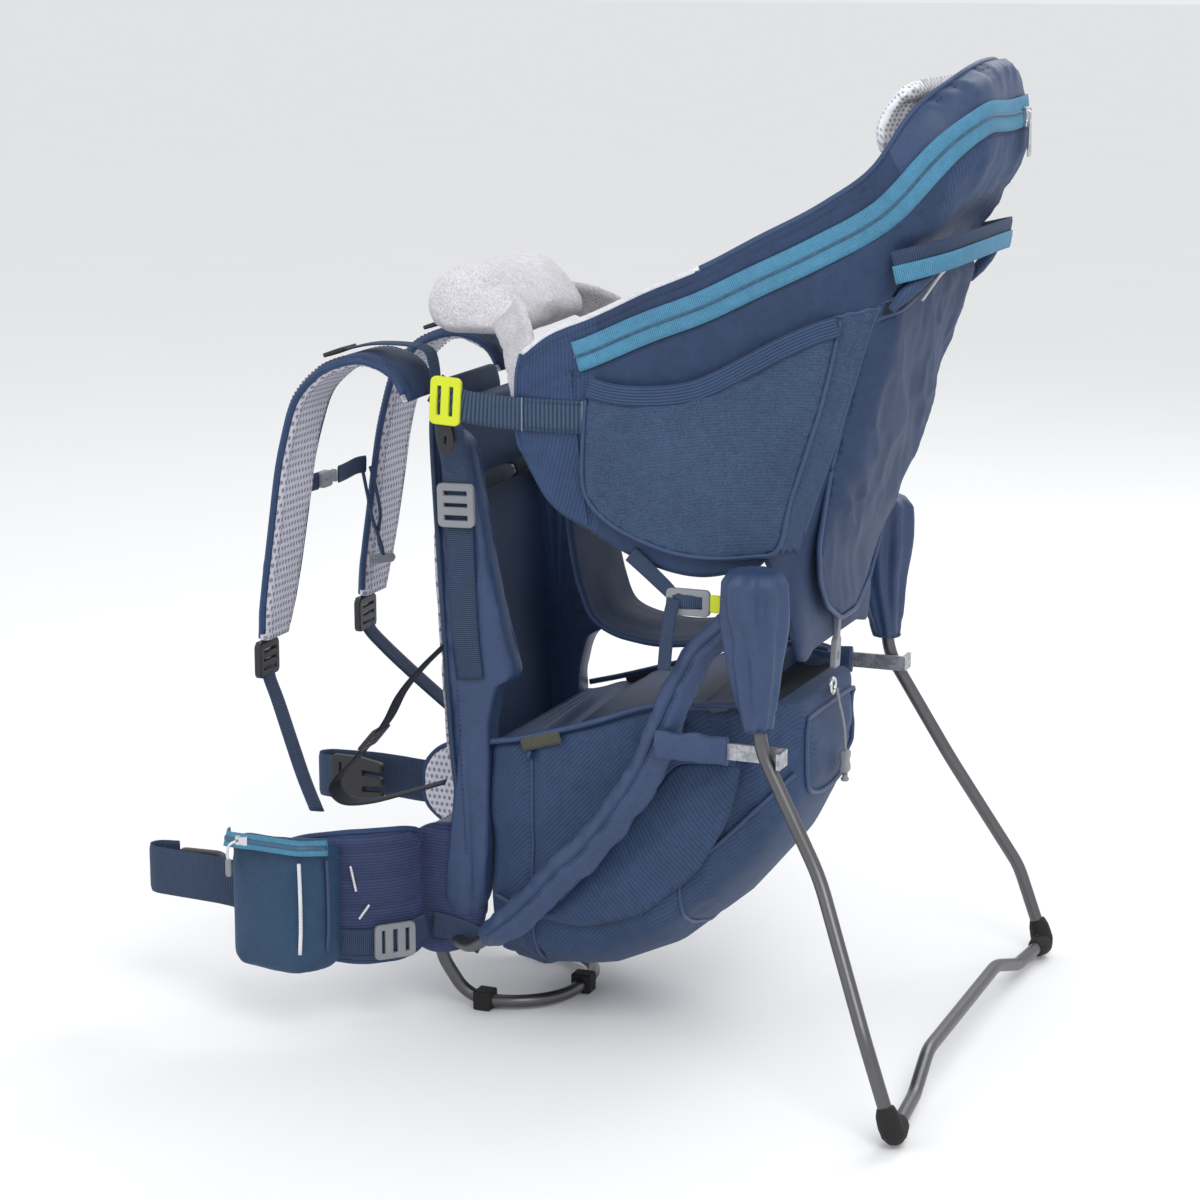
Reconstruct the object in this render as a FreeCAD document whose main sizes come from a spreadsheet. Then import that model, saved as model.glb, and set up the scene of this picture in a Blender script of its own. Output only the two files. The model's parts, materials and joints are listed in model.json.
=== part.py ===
import FreeCAD, Part
import math
import os

# Baby carrier backpack, standing on its own: floor loop in front, kickstand open behind.
# +Z is up, the wearer faces -X, the wearer's left is -Y.  The plane Y = 0 is the middle
# plane.  Lengths are millimetres.  Outlines are listed in a drawing frame whose X = 0 is
# the front of the floor loop; W() moves them to the model frame, whose origin is on the
# floor below the middle of the overall box.

V = FreeCAD.Vector
doc = FreeCAD.newDocument("carrier")
sheet = doc.addObject("Spreadsheet::Sheet", "sizes")
DIM = [
    ("origin_shift", 78.3),
    ("frame_tube_radius", 5.5),
    ("crossbar_radius", 5.0),
    ("strut_tube_radius", 5.5),
    ("stand_tube_radius", 5.5),
    ("strut_sleeve_outer", 11.0),
    ("strut_sleeve_inner", 6.0),
    ("leg_sleeve_outer", 9.3),
    ("leg_sleeve_inner", 6.0),
    ("bracket_thickness", 4.0),
    ("pin_radius", 4.0),
    ("pin_running_gap", 0.05),
    ("eye_width", 15.0),
    ("stop_bar_thickness", 3.0),
    ("panel_width", 226.0),
    ("lumbar_width", 196.0),
    ("cushion_width", 58.0),
    ("shell_width", 190.0),
    ("side_reach", 400.0),
    ("side_sweep", 130.0),
    ("side_thickness", 10.0),
    ("headrest_width", 236.0),
    ("headrest_pad_width", 150.0),
    ("seat_width", 110.0),
    ("chin_width", 150.0),
    ("bag_wall", 5.0),
    ("bag_mouth_width", 130.0),
    ("bag_pocket_thickness", 5.0),
    ("stretch_pocket_thickness", 4.0),
    ("flap_width", 196.0),
    ("handle_tape_width", 24.0),
    ("wing_tape_width", 1.6),
    ("strap_width", 66.0),
    ("lifter_width", 20.0),
    ("yoke_width", 116.0),
    ("ladder_width", 32.0),
    ("sternum_tape_width", 15.0),
    ("fin_height", 116.0),
    ("pouch_height", 116.0),
    ("belt_width", 43.0),
    ("buckle_height", 52.0),
    ("stirrup_width", 25.0),
    ("eyelet_radius", 7.0),
    ("eyelet_wire", 1.6),
    ("cord_radius", 1.3),
    ("zip_body_width", 9.0),
]
for i, (name, value) in enumerate(DIM):
    cell = "A%d" % (i + 2)
    sheet.set(cell, str(value))
    sheet.setAlias(cell, name)
doc.recompute()
D = dict((name, float(sheet.get(name))) for name, value in DIM)
X0 = D["origin_shift"]
NODES = []


def W(x):
    return x - X0


def plane_of(body, role):
    return [o for o in body.Origin.OriginFeatures if o.Role == role][0]


def sketch_on(body, name, role):
    sk = body.newObject("Sketcher::SketchObject", name)
    sk.AttachmentSupport = [(plane_of(body, role), "")]
    sk.MapMode = "FlatFace"
    return sk


def close_loop(sk, pts):
    n = len(pts)
    for k in range(n):
        a, b = pts[k], pts[(k + 1) % n]
        sk.addGeometry(Part.LineSegment(V(a[0], a[1], 0), V(b[0], b[1], 0)), False)


def pad(label, pts, role, centre, alias, holes=(), circles=(), shift=True):
    """A slab of the closed outline pts, centred on the plane offset by centre."""
    body = doc.addObject("PartDesign::Body", label)
    body.Label = label
    sk = sketch_on(body, label + "_outline", role)
    dx = -X0 if (shift and role in ("XZ_Plane", "XY_Plane")) else 0.0
    close_loop(sk, [(p[0] + dx, p[1]) for p in pts])
    for hole in holes:
        close_loop(sk, [(p[0] + dx, p[1]) for p in hole])
    for (cx, cz, alias_radius) in circles:
        g = sk.addGeometry(Part.Circle(V(cx + dx, cz, 0), V(0, 0, 1), D[alias_radius[0]] + alias_radius[1]), False)
        c = sk.addConstraint(__import_sketcher().Constraint("Radius", g, D[alias_radius[0]] + alias_radius[1]))
        if alias_radius[1]:
            sk.setExpression("Constraints[%d]" % c, "sizes.%s + sizes.pin_running_gap" % alias_radius[0])
        else:
            sk.setExpression("Constraints[%d]" % c, "sizes.%s" % alias_radius[0])
    p = body.newObject("PartDesign::Pad", label + "_pad")
    p.Profile = sk
    p.SideType = "Symmetric"
    p.setExpression("Length", "sizes." + alias)
    if role == "XZ_Plane":
        body.Placement = FreeCAD.Placement(V(0, centre, 0), FreeCAD.Rotation())
    elif role == "XY_Plane":
        body.Placement = FreeCAD.Placement(V(0, 0, centre), FreeCAD.Rotation())
    else:
        body.Placement = FreeCAD.Placement(V(W(centre), 0, 0), FreeCAD.Rotation())
    return body


def __import_sketcher():
    import Sketcher
    return Sketcher


def band(path, thickness):
    """Closed outline of a strip of constant thickness along a polyline."""
    left, right = [], []
    n = len(path)
    for k in range(n):
        if k == 0:
            d = (path[1][0] - path[0][0], path[1][1] - path[0][1])
            length = math.hypot(*d)
            nx, ny, m = -d[1] / length, d[0] / length, 1.0
        elif k == n - 1:
            d = (path[k][0] - path[k - 1][0], path[k][1] - path[k - 1][1])
            length = math.hypot(*d)
            nx, ny, m = -d[1] / length, d[0] / length, 1.0
        else:
            d1 = (path[k][0] - path[k - 1][0], path[k][1] - path[k - 1][1])
            d2 = (path[k + 1][0] - path[k][0], path[k + 1][1] - path[k][1])
            l1, l2 = math.hypot(*d1), math.hypot(*d2)
            n1 = (-d1[1] / l1, d1[0] / l1)
            n2 = (-d2[1] / l2, d2[0] / l2)
            sx, sy = n1[0] + n2[0], n1[1] + n2[1]
            s = math.hypot(sx, sy)
            nx, ny = sx / s, sy / s
            m = 1.0 / max(0.5, nx * n1[0] + ny * n1[1])
        h = thickness / 2.0 * m
        left.append((path[k][0] + nx * h, path[k][1] + ny * h))
        right.append((path[k][0] - nx * h, path[k][1] - ny * h))
    return left + right[::-1]


def tube_path(pts, radii):
    """Straight runs joined by tangent arcs; radii[k] is the arc at inner point k+1."""
    pts = [V(W(p[0]), p[1], p[2]) for p in pts]
    edges = []
    cur = pts[0]
    for k in range(1, len(pts) - 1):
        a, b, c = pts[k - 1], pts[k], pts[k + 1]
        u = (a - b).normalize()
        w = (c - b).normalize()
        turn = math.pi - u.getAngle(w)
        t = radii[k - 1] * math.tan(turn / 2.0)
        p1 = b + u * t
        p2 = b + w * t
        bis = (u + w).normalize()
        mid = b + bis * (radii[k - 1] / math.cos(turn / 2.0) - radii[k - 1])
        edges.append(Part.LineSegment(cur, p1).toShape())
        edges.append(Part.Arc(p1, mid, p2).toShape())
        cur = p2
    edges.append(Part.LineSegment(cur, pts[-1]).toShape())
    return Part.Wire(edges), (pts[1] - pts[0]).normalize(), pts[0]


def tube(label, pts, radii, alias, keep=True):
    """Round bar along a path, as a sweep of a circle bound to the sheet."""
    wire, direction, start = tube_path(pts, radii)
    route = doc.addObject("Part::Feature", label + "_route")
    route.Shape = wire
    ring = doc.addObject("Part::Circle", label + "_section")
    ring.setExpression("Radius", "sizes." + alias)
    ring.Placement = FreeCAD.Placement(start, FreeCAD.Rotation(V(0, 0, 1), direction))
    sw = doc.addObject("Part::Sweep", label)
    sw.Label = label
    sw.Sections = [ring]
    sw.Spine = (route, ["Edge%d" % (i + 1) for i in range(len(wire.Edges))])
    sw.Solid = True
    sw.Frenet = False
    if keep:
        NODES.append(sw)
    return sw


def ring_tube(label, pts, radii, outer, inner):
    """Hollow sleeve along a path: outer sweep minus inner sweep."""
    a = tube(label + "_outer", pts, radii, outer, keep=False)
    b = tube(label + "_bore", pts, radii, inner, keep=False)
    c = doc.addObject("Part::Cut", label)
    c.Label = label
    c.Base = a
    c.Tool = b
    NODES.append(c)
    return c


def node(body):
    NODES.append(body)
    return body


def group(label, shapes):
    """Several like pieces in one node, each its own solid."""
    f = doc.addObject("Part::Feature", label)
    f.Label = label
    f.Shape = Part.makeCompound(shapes)
    f.Placement = FreeCAD.Placement()
    NODES.append(f)
    return f


def cylinder_y(x, z, y_low, y_high, radius):
    return Part.makeCylinder(radius, y_high - y_low, V(W(x), y_low, z), V(0, 1, 0))


SIDES = (("left", -1.0), ("right", 1.0))

# ---------------------------------------------------------------- metal frame
# One bent tube: two stays inside the back panel, bent forward under the hip belt and
# closed by the floor loop, which lies flat and opens to the front.
stay = [(-4, 95, 472), (15, 95, 165), (-38, 84, 56), (-14, 71, 8), (64, 71, 8)]
loop = [(x, -y, z) for (x, y, z) in stay] + stay[::-1]
tube("frame_tube", loop, [80, 45, 30, 58, 58, 30, 45, 80], "frame_tube_radius")
tube("frame_crossbar", [(-3.0, -89.2, 455), (-3.0, 89.2, 455)], [], "crossbar_radius")

# side struts run from the kickstand hinges down to the stays, under padded sleeves
strut = [(268, 152, 391), (224, 152, 352), (173, 150, 242), (104, 145, 157), (47, 142, 97), (14, 128, 74), (-17, 97, 70)]
strut_r = [60, 90, 150, 120, 45]
for name, s in SIDES:
    tube("side_strut_" + name, [(x, s * y, z) for (x, y, z) in strut], strut_r[:5], "strut_tube_radius")
sleeve = [(252, 152, 376.8), (224, 152, 352), (173, 150, 242), (104, 145, 157), (47, 142, 97), (22, 131.4, 79.6)]
for name, s in SIDES:
    ring_tube("strut_sleeve_" + name, [(x, s * y, z) for (x, y, z) in sleeve], [60, 90, 150, 120][:4],
              "strut_sleeve_outer", "strut_sleeve_inner")

# hinge plates carry the pivot pins at the top of the struts
HX, HZ = 281.0, 400.0


def disc(cx, cz, r, a0, a1, n=14):
    return [(cx + r * math.cos(math.radians(a0 + (a1 - a0) * k / n)),
             cz + r * math.sin(math.radians(a0 + (a1 - a0) * k / n))) for k in range(n + 1)]


plate = disc(HX, HZ, 14, -50, 140) + [(252, 389), (259, 371)]
for name, s in SIDES:
    node(pad("hinge_bracket_" + name, plate, "XZ_Plane", s * 160.0, "bracket_thickness",
             circles=[(HX, HZ, ("pin_radius", 0.0))]))
pins = []
pr = D["pin_radius"]
for s in (-1, 1):
    lo, hi = 158.0, 185.0
    a = cylinder_y(HX, HZ, min(s * lo, s * hi), max(s * lo, s * hi), pr)
    head = cylinder_y(HX, HZ, min(s * 185, s * 189), max(s * 185, s * 189), 9.0)
    collar = cylinder_y(HX, HZ, min(s * 162.05, s * 165.6), max(s * 162.05, s * 165.6), 8.0)
    pins.append(a.fuse(head).fuse(collar).removeSplitter())
group("hinge_pins", pins)

# stop bars reach back from the struts and turn out behind the legs
bars = []
bt = D["stop_bar_thickness"]
for s in (-1, 1):
    flat = Part.makeBox(298.4 - 200.0, bt, 13.0, V(W(200.0), s * 165.0 - bt / 2.0, 270.0))
    y0, y1 = sorted((s * 163.5, s * 183.0))
    tab = Part.makeBox(3.0, y1 - y0, 13.0, V(W(297.4), y0, 270.0))
    bars.append(flat.fuse(tab).removeSplitter())
group("stop_bars", bars)

# rubber pads clipped round the floor loop: two in front, one behind
pads = []
for (px, py, lx, ly) in ((2.0, -71.0, 16, 18), (2.0, 71.0, 16, 18), (64.0, 0.0, 18, 16)):
    block = Part.makeBox(lx, ly, 17.0, V(W(px - lx / 2.0), py - ly / 2.0, 0))
    pads.append(block.makeFillet(2.0, block.Edges))
blank = doc.addObject("Part::Feature", "foot_pads_blank")
blank.Shape = Part.makeCompound(pads)
fp = doc.addObject("Part::Cut", "foot_pads")
fp.Label = "foot_pads"
fp.Base = blank
fp.Tool = [o for o in NODES if o.Label == "frame_tube"][0]
NODES.append(fp)

# ---------------------------------------------------------------- back system
panel_mid = [(-24, 522), (-4, 184)]
node(pad("back_panel", band(panel_mid, 13.0), "XZ_Plane", 0.0, "panel_width"))
lumbar = [(-47.5, 168), (-60, 150), (-63, 100), (-56, 70), (-47.5, 66)]
node(pad("lumbar_pad", lumbar, "XZ_Plane", 0.0, "lumbar_width"))
cush = []
cw = D["cushion_width"]
for s in (-1, 1):
    prof = band([(-30.0, 425), (-16.6, 200)], 7.0)
    face = Part.Face(Part.makePolygon([V(W(p[0]), s * 66 - cw / 2, p[1]) for p in prof + prof[:1]]))
    cush.append(face.extrude(V(0, cw, 0)))
group("back_cushions", cush)

# ---------------------------------------------------------------- child compartment
rear_mid = [(382, 700), (376, 671), (358, 640), (345, 600), (323, 526), (288, 418), (285, 360), (285, 336)]
node(pad("rear_shell", band(rear_mid, 7.0), "XZ_Plane", 0.0, "shell_width"))


def curved(label, outline, plan, thick_path, z_mid, height_alias, reach_alias, centre):
    """A side outline cut from a strip that is curved in plan."""
    a = pad(label + "_side", outline, "XZ_Plane", centre, reach_alias)
    b = pad(label + "_plan", band(plan, thick_path), "XY_Plane", z_mid, height_alias)
    c = doc.addObject("Part::Common", label)
    c.Label = label
    c.Base = a
    c.Tool = b
    NODES.append(c)
    return c


side = [(71, 541), (75, 577), (95, 592), (130, 608), (220, 649), (274, 678), (334, 712), (362, 716), (374, 700),
        (365, 668), (347, 640), (334, 600), (312, 526), (281, 430), (276, 420), (262, 419), (240, 412), (210, 409),
        (177, 418), (152, 432), (122, 446), (84, 471), (70, 502)]
plan = [(60, 149), (200, 146), (262, 136), (310, 119), (340, 108), (382, 103)]
pocket = [(140, 548), (227, 556), (296, 584), (322, 590), (310, 540), (290, 470), (282, 432), (230, 424), (166, 438), (142, 500)]
plan_out = [(60, 156.6), (201, 153.6), (264.5, 143.4), (313, 126.2), (343, 115.2), (382, 110.6)]
for name, s in SIDES:
    curved("side_panel_" + name, side, [(x, s * y) for (x, y) in plan], D["side_thickness"], 560.0, "side_reach", "side_sweep", s * 130.0)
for name, s in SIDES:
    curved("stretch_pocket_" + name, pocket, [(x, s * y) for (x, y) in plan_out], D["stretch_pocket_thickness"], 560.0,
           "side_reach", "side_sweep", s * 130.0)
hr_side = [(343, 722), (350, 754), (366, 780), (388, 796), (404, 801), (411, 793), (417, 772), (418.5, 740), (409, 712),
           (399, 703), (378, 718)]
hr_front = [(-116, 702), (116, 702), (116, 728), (106, 752), (87, 776), (60, 791), (30, 799), (0, 801),
            (-30, 799), (-60, 791), (-87, 776), (-106, 752), (-116, 728)]
hr_a = pad("headrest_profile", hr_side, "XZ_Plane", 0.0, "headrest_width")
hr_b = pad("headrest_front", hr_front, "YZ_Plane", 385.0, "headrest_width")
hr = doc.addObject("Part::Common", "headrest")
hr.Label = "headrest"
hr.Base = hr_a
hr.Tool = hr_b
NODES.append(hr)
hr_pad = [(304, 722), (297, 744), (308, 764), (333, 784), (362, 796), (370, 788.5), (364, 781.4), (348.6, 755), (341.6, 722)]
node(pad("headrest_pad", hr_pad, "XZ_Plane", 0.0, "headrest_pad_width"))
flap = [(368, 632), (357, 607), (332, 528), (297, 416), (294, 352)]
node(pad("rear_pocket", band(flap, 8.0), "XZ_Plane", 0.0, "flap_width"))
seat = [(62, 440), (74, 360), (92, 331), (130, 322), (225, 324), (262, 350), (255, 362), (222, 339), (134, 337), (104, 345),
        (88, 368), (76, 441)]
node(pad("seat", seat, "XZ_Plane", 0.0, "seat_width"))
sb_parts = []
for s in (-1, 1):
    ring = Part.makeBox(34, 5, 19, V(W(197), s * 152 - 2.5, 380))
    for (xa, xb) in ((200.5, 211.0), (216.0, 227.0)):
        ring = ring.cut(Part.makeBox(xb - xa, 7, 12, V(W(xa), s * 152 - 3.5, 383.5)))
    sb_parts.append(ring)
group("side_buckles", sb_parts)
chin = [(-50, 584), (-54, 606), (-42, 628), (-20, 639), (6, 638), (24, 622), (40, 604), (46, 590), (40, 578), (-30, 574)]
node(pad("chin_pad", chin, "XZ_Plane", 0.0, "chin_width"))

# ---------------------------------------------------------------- lower bag
# rounded hollow bag: ruled loft through cross-sections, open on top towards the rear
OUT = [(24, 38, 45, 112, 300), (60, 33, 48, 118, 300), (117, 45, 46, 120, 300), (171, 70, 42, 120, 300),
       (220, 112, 36, 116, 300), (258, 158, 30, 100, 300), (280, 200, 22, 74, 295), (289, 225, 10, 50, 257)]


def section(x, floor, rise, half, top):
    pts = [(-half, top), (-half, floor + rise + 12), (-half * 0.93, floor + rise * 0.72), (-half * 0.72, floor + rise * 0.36),
           (-half * 0.4, floor + rise * 0.08), (0, floor), (half * 0.4, floor + rise * 0.08), (half * 0.72, floor + rise * 0.36),
           (half * 0.93, floor + rise * 0.72), (half, floor + rise + 12), (half, top)]
    vs = [V(W(x), y, z) for (y, z) in pts]
    return Part.makePolygon(vs + vs[:1])


wall = D["bag_wall"]
outer = Part.makeLoft([section(*q) for q in OUT], True, True)
INN = [(24 + wall, 38 + wall, 45, 112 - wall, 300 - wall)] + \
      [(x, f + wall, r, h - wall, 300 - wall) for (x, f, r, h, t) in OUT[1:5]] + \
      [(256, 160 + wall, 30, 98 - wall, 300 - wall), (275, 198 + wall, 22, 74 - wall, 300 - wall)]
inner = Part.makeLoft([section(*q) for q in INN], True, True)
bag_a = doc.addObject("Part::Feature", "bag_outer")
bag_a.Shape = outer
bag_b = doc.addObject("Part::Feature", "bag_inner")
bag_b.Shape = inner
bag_c = doc.addObject("Part::Box", "bag_mouth")
bag_c.Length = 79
bag_c.setExpression("Width", "sizes.bag_mouth_width")
bag_c.Height = 20
bag_c.Placement = FreeCAD.Placement(V(W(196), -D["bag_mouth_width"] / 2.0, 290), FreeCAD.Rotation())
bag_d = doc.addObject("Part::Fuse", "bag_hollow")
bag_d.Base = bag_b
bag_d.Tool = bag_c
cut = doc.addObject("Part::Cut", "lower_bag")
cut.Label = "lower_bag"
cut.Base = bag_a
cut.Tool = bag_d
NODES.append(cut)
bp = [(62, 104), (112, 100), (166, 116), (214, 160), (240, 206), (250, 244), (252, 258), (190, 254), (150, 200), (88, 124)]
for name, s in SIDES:
    node(pad("bag_pocket_" + name, bp, "XZ_Plane", s * 122.9, "bag_pocket_thickness"))

# drawcord eyelet on the rear rim, cord and its lock
er, ew = D["eyelet_radius"], D["eyelet_wire"]
eye = doc.addObject("Part::Torus", "bag_eyelet")
eye.Label = "bag_eyelet"
eye.setExpression("Radius1", "sizes.eyelet_radius - 1.0")
eye.setExpression("Radius2", "sizes.eyelet_wire")
eye.Placement = FreeCAD.Placement(V(W(285.6), 0, 294.0), FreeCAD.Rotation(V(0, 1, 0), 90))
NODES.append(eye)
cord_pts = [(289.3, 0.0, 292.0), (290.6, 0.9, 281.0), (294.0, 1.3, 268.5), (296.6, 0.3, 255.0), (297.3, 0.0, 241.0)]


def cord_radii(pts):
    out = []
    for k in range(1, len(pts) - 1):
        a, b, c = [V(*p) for p in pts[k - 1:k + 2]]
        l1, l2 = (b - a).Length, (c - b).Length
        turn = math.pi - (a - b).getAngle(c - b)
        out.append(0.45 * min(l1, l2) / math.tan(turn / 2.0))
    return out


cr = cord_radii(cord_pts)
print("cord radii", [round(r, 1) for r in cr])
tube("drawcord", cord_pts, cr, "cord_radius")
lock = Part.makeBox(8, 13, 20, V(W(293.3), -6.5, 220.9))
lock = lock.makeFillet(2.2, lock.Edges)
lock = lock.cut(Part.makeCylinder(2.9, 16, V(W(297.3), 0, 213), V(0, 0, 1)))
lockf = group("cord_lock", [lock])
button = Part.makeCylinder(2.5, 8.5, V(W(297.3), 0, 214.5), V(0, 0, 1))
button = button.fuse(Part.makeCylinder(3.6, 3.0, V(W(297.3), 0, 213.5), V(0, 0, 1))).removeSplitter()
group("cord_lock_button", [button])
hook = Part.makeBox(7, 12, 24, V(W(284.0), -6, 311))
hook = hook.makeFillet(1.8, hook.Edges)
hook = hook.cut(Part.makeBox(9, 6, 8, V(W(283.0), -3, 316)))
hook = hook.fuse(Part.makeBox(1.8, 5, 20, V(W(289.0), -2.5, 328))).removeSplitter()
group("rim_hook", [hook])

# ---------------------------------------------------------------- webbing and buckles on the pack
handle = band([(371, -112), (386, -92), (402, -50), (409, 0), (402, 50), (386, 92), (371, 112)], 2.6)
node(pad("grab_handle", handle, "XY_Plane", 664.0, "handle_tape_width"))
tapes, clips = [], []
for s in (-1, 1):
    tw = D["wing_tape_width"]
    tapes.append(Part.makeBox(48, tw, 27, V(W(20), s * 149.0 - tw / 2, 518)))
    clip = Part.makeBox(20, 4, 37, V(W(-2), s * 149.0 - 2, 518))
    clip = clip.cut(Part.makeBox(4, 6, 27, V(W(2.5), s * 149.0 - 3, 523)))
    clip = clip.cut(Part.makeBox(4, 6, 27, V(W(10.5), s * 149.0 - 3, 523)))
    clips.append(clip)
group("wing_straps", tapes)
group("wing_buckles", clips)
for name, s in SIDES:
    st = band([(-33, 316), (-58, 262), (-106, 207), (-88, 189), (-38, 204)], 2.0)
    node(pad("foot_stirrup_" + name, st, "XZ_Plane", s * 131.0, "stirrup_width"))

# ---------------------------------------------------------------- kickstand
leg_r = D["stand_tube_radius"]
half = [(281, 174.4, 389.5), (281, 174.4, 286), (336, 189, 190), (389, 238, 82), (413, 241, 12.5), (408, 165, 15), (403, 108, 32)]
stand = [(x, -y, z) for (x, y, z) in half] + half[::-1]
tube("kickstand_tube", stand, [60, 120, 60, 17, 50, 80, 80, 50, 17, 60, 120, 60], "stand_tube_radius")
eyes = []
ewid = D["eye_width"]
for s in (-1, 1):
    y0, y1 = sorted((s * 166.2, s * 184.3))
    e = cylinder_y(HX, HZ, y0, y1, 10.0)
    skirt = Part.makeBox(13, y1 - y0, 8, V(W(HX - 6.5), y0, 389.6))
    e = e.fuse(skirt).removeSplitter()
    e = e.cut(cylinder_y(HX, HZ, y0 - 1, y1 + 1, pr + D["pin_running_gap"]))
    eyes.append(e)
group("kickstand_eyes", eyes)
caps = []
for s in (-1, 1):
    block = Part.makeBox(22, 34, 20, V(W(402), min(s * 216, s * 250), 0))
    block = block.makeFillet(4.0, block.Edges)
    caps.append(block)
stand_feet = doc.addObject("Part::Feature", "kickstand_feet_blank")
stand_feet.Shape = Part.makeCompound(caps)
fc = doc.addObject("Part::Cut", "kickstand_feet")
fc.Label = "kickstand_feet"
fc.Base = stand_feet
fc.Tool = [o for o in NODES if o.Label == "kickstand_tube"][0]
NODES.append(fc)
leg_sl = []
for s in (-1, 1):
    a = Part.makeCylinder(D["leg_sleeve_outer"], 88, V(W(281), s * 174.4, 296), V(0, 0, 1))
    b = Part.makeCylinder(D["leg_sleeve_inner"], 90, V(W(281), s * 174.4, 295), V(0, 0, 1))
    leg_sl.append(a.cut(b))
group("leg_sleeves", leg_sl)

# ---------------------------------------------------------------- shoulder harness, slides on the panel
yoke = [(-44, 500), (-46, 538), (-38, 541), (-32.5, 524), (-31.0, 500)]
node(pad("harness_yoke", yoke, "XZ_Plane", 0.0, "yoke_width"))
strap = [(-40, 529), (-55, 552), (-80, 560), (-108, 553), (-140, 523), (-157, 463), (-169, 386), (-180, 316)]
for name, s in SIDES:
    node(pad("shoulder_strap_" + name, band(strap, 12.0), "XZ_Plane", s * 95.0, "strap_width"))
lw = D["lifter_width"]
lif = []
for s in (-1, 1):
    prof = band([(-38, 571), (-80, 571.5), (-118, 560)], 2.0)
    face = Part.Face(Part.makePolygon([V(W(p[0]), s * 97 - lw / 2, p[1]) for p in prof + prof[:1]]))
    lif.append(face.extrude(V(0, lw, 0)))
group("load_lifters", lif)
locks = []
ld = D["ladder_width"]
for s in (-1, 1):
    b = Part.makeBox(7, ld, 28, V(W(-191), s * 95 - ld / 2, 283))
    for (z0, z1) in ((286, 291), (294, 299), (302, 307)):
        b = b.cut(Part.makeBox(9, ld - 8, z1 - z0, V(W(-192), s * 95 - ld / 2 + 4, z0)))
    locks.append(b)
group("strap_ladder_locks", locks)
sw_ = D["sternum_tape_width"]
node(pad("sternum_strap", band([(-168.5, 62), (-171, 30), (-167, 5)], 1.8), "XY_Plane", 440.0, "sternum_tape_width"))
sb = [(-176, -28), (-160, -28), (-158, 2), (-162, 4.5), (-172, 4.5), (-178, 2)]
node(pad("sternum_buckle", sb, "XY_Plane", 440.0, "strut_sleeve_outer"))

# ---------------------------------------------------------------- hip belt
fin_path = [(-38, 112), (-50, 138), (-78, 160), (-118, 172), (-168, 174)]
for name, s in SIDES:
    node(pad("hip_fin_" + name, band([(x, s * y) for (x, y) in fin_path], 14.0), "XY_Plane", 116.0, "fin_height"))
    node(pad("hip_webbing_" + name, band([(-168.6, s * 173), (-218, s * 173), (-261, s * 168), (-268.5, s * 160), (-264, s * 151), (-248, s * 147)], 2.4),
             "XY_Plane", 122.0, "belt_width"))
pouch = [(-66, -166.2), (-82, -172), (-120, -182), (-162, -184), (-162, -206), (-90, -210.2), (-70, -192)]
node(pad("hip_pouch", pouch, "XY_Plane", 118.0, "pouch_height"))
soc = [(-247.5, -152.5), (-247.5, -141.5), (-206, -139.5), (-206, -150.5)]
node(pad("hip_buckle_socket", soc, "XY_Plane", 122.0, "buckle_height"))
pro = [(-247.5, 152.5), (-247.5, 141.5), (-222, 140.5), (-198, 142.5), (-198, 148.5), (-222, 150.5)]
node(pad("hip_buckle_prong", pro, "XY_Plane", 122.0, "belt_width"))
# lower webbing from the ladder-locks to the hip fins
low = []
for s in (-1, 1):
    a = [V(W(-187), s * 95 - 10, 281), V(W(-185), s * 95 - 10, 281), V(W(-185), s * 95 + 10, 281), V(W(-187), s * 95 + 10, 281)]
    y = s * 156
    b = [V(W(-112), y - 8, 183), V(W(-109.5), y - 8, 183), V(W(-109.5), y + 8, 183), V(W(-112), y + 8, 183)]
    wa = Part.makePolygon(a + a[:1])
    wb = Part.makePolygon(b + b[:1])
    low.append(Part.makeLoft([wa, wb], True, True))
group("lower_strap_webbing", low)

# ---------------------------------------------------------------- zip sliders
slider = Part.makeBox(5, 11, 14, V(W(419.2), 29.5, 751))
slider = slider.makeFillet(1.2, slider.Edges)
group("rim_zip_slider", [slider])
pull = Part.makeBox(1.6, 8, 30, V(W(425.0), 31, 727))
pull = pull.cut(Part.makeBox(4, 3.4, 7, V(W(424), 33.3, 730)))
group("rim_zip_pull", [pull])
node(pad("pouch_zip_slider", [(-158, -207.0), (-148, -207.6), (-148, -214), (-158, -213.4)], "XY_Plane", 171.0, "zip_body_width"))

# ---------------------------------------------------------------- check and write
doc.recompute()
bad = []
for o in doc.Objects:
    if "Invalid" in o.State or "Error" in o.State:
        bad.append((o.Label, o.State))
for o in NODES:
    sh = o.Shape
    if sh.isNull() or not sh.isValid() or len(sh.Solids) < 1:
        bad.append((o.Label, "shape"))
if bad:
    raise SystemExit("not built: %s" % bad)
labels = [o.Label for o in NODES]
if len(set(labels)) != len(labels):
    raise SystemExit("labels repeat")
os.makedirs("parts", exist_ok=True)
keep = set(label + ".step" for label in labels)
for f in os.listdir("parts"):
    if f.endswith(".step") and f not in keep:
        os.remove(os.path.join("parts", f))
box = FreeCAD.BoundBox()
for o in NODES:
    o.Shape.exportStep(os.path.join("parts", o.Label + ".step"))
    box.add(o.Shape.BoundBox)
print(len(NODES), "nodes; box X %.2f..%.2f Y %.2f..%.2f Z %.2f..%.2f" % (box.XMin, box.XMax, box.YMin, box.YMax, box.ZMin, box.ZMax))
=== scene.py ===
import bpy, bmesh, math, json
import numpy as np
from mathutils import Vector, Matrix, geometry, kdtree

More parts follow.
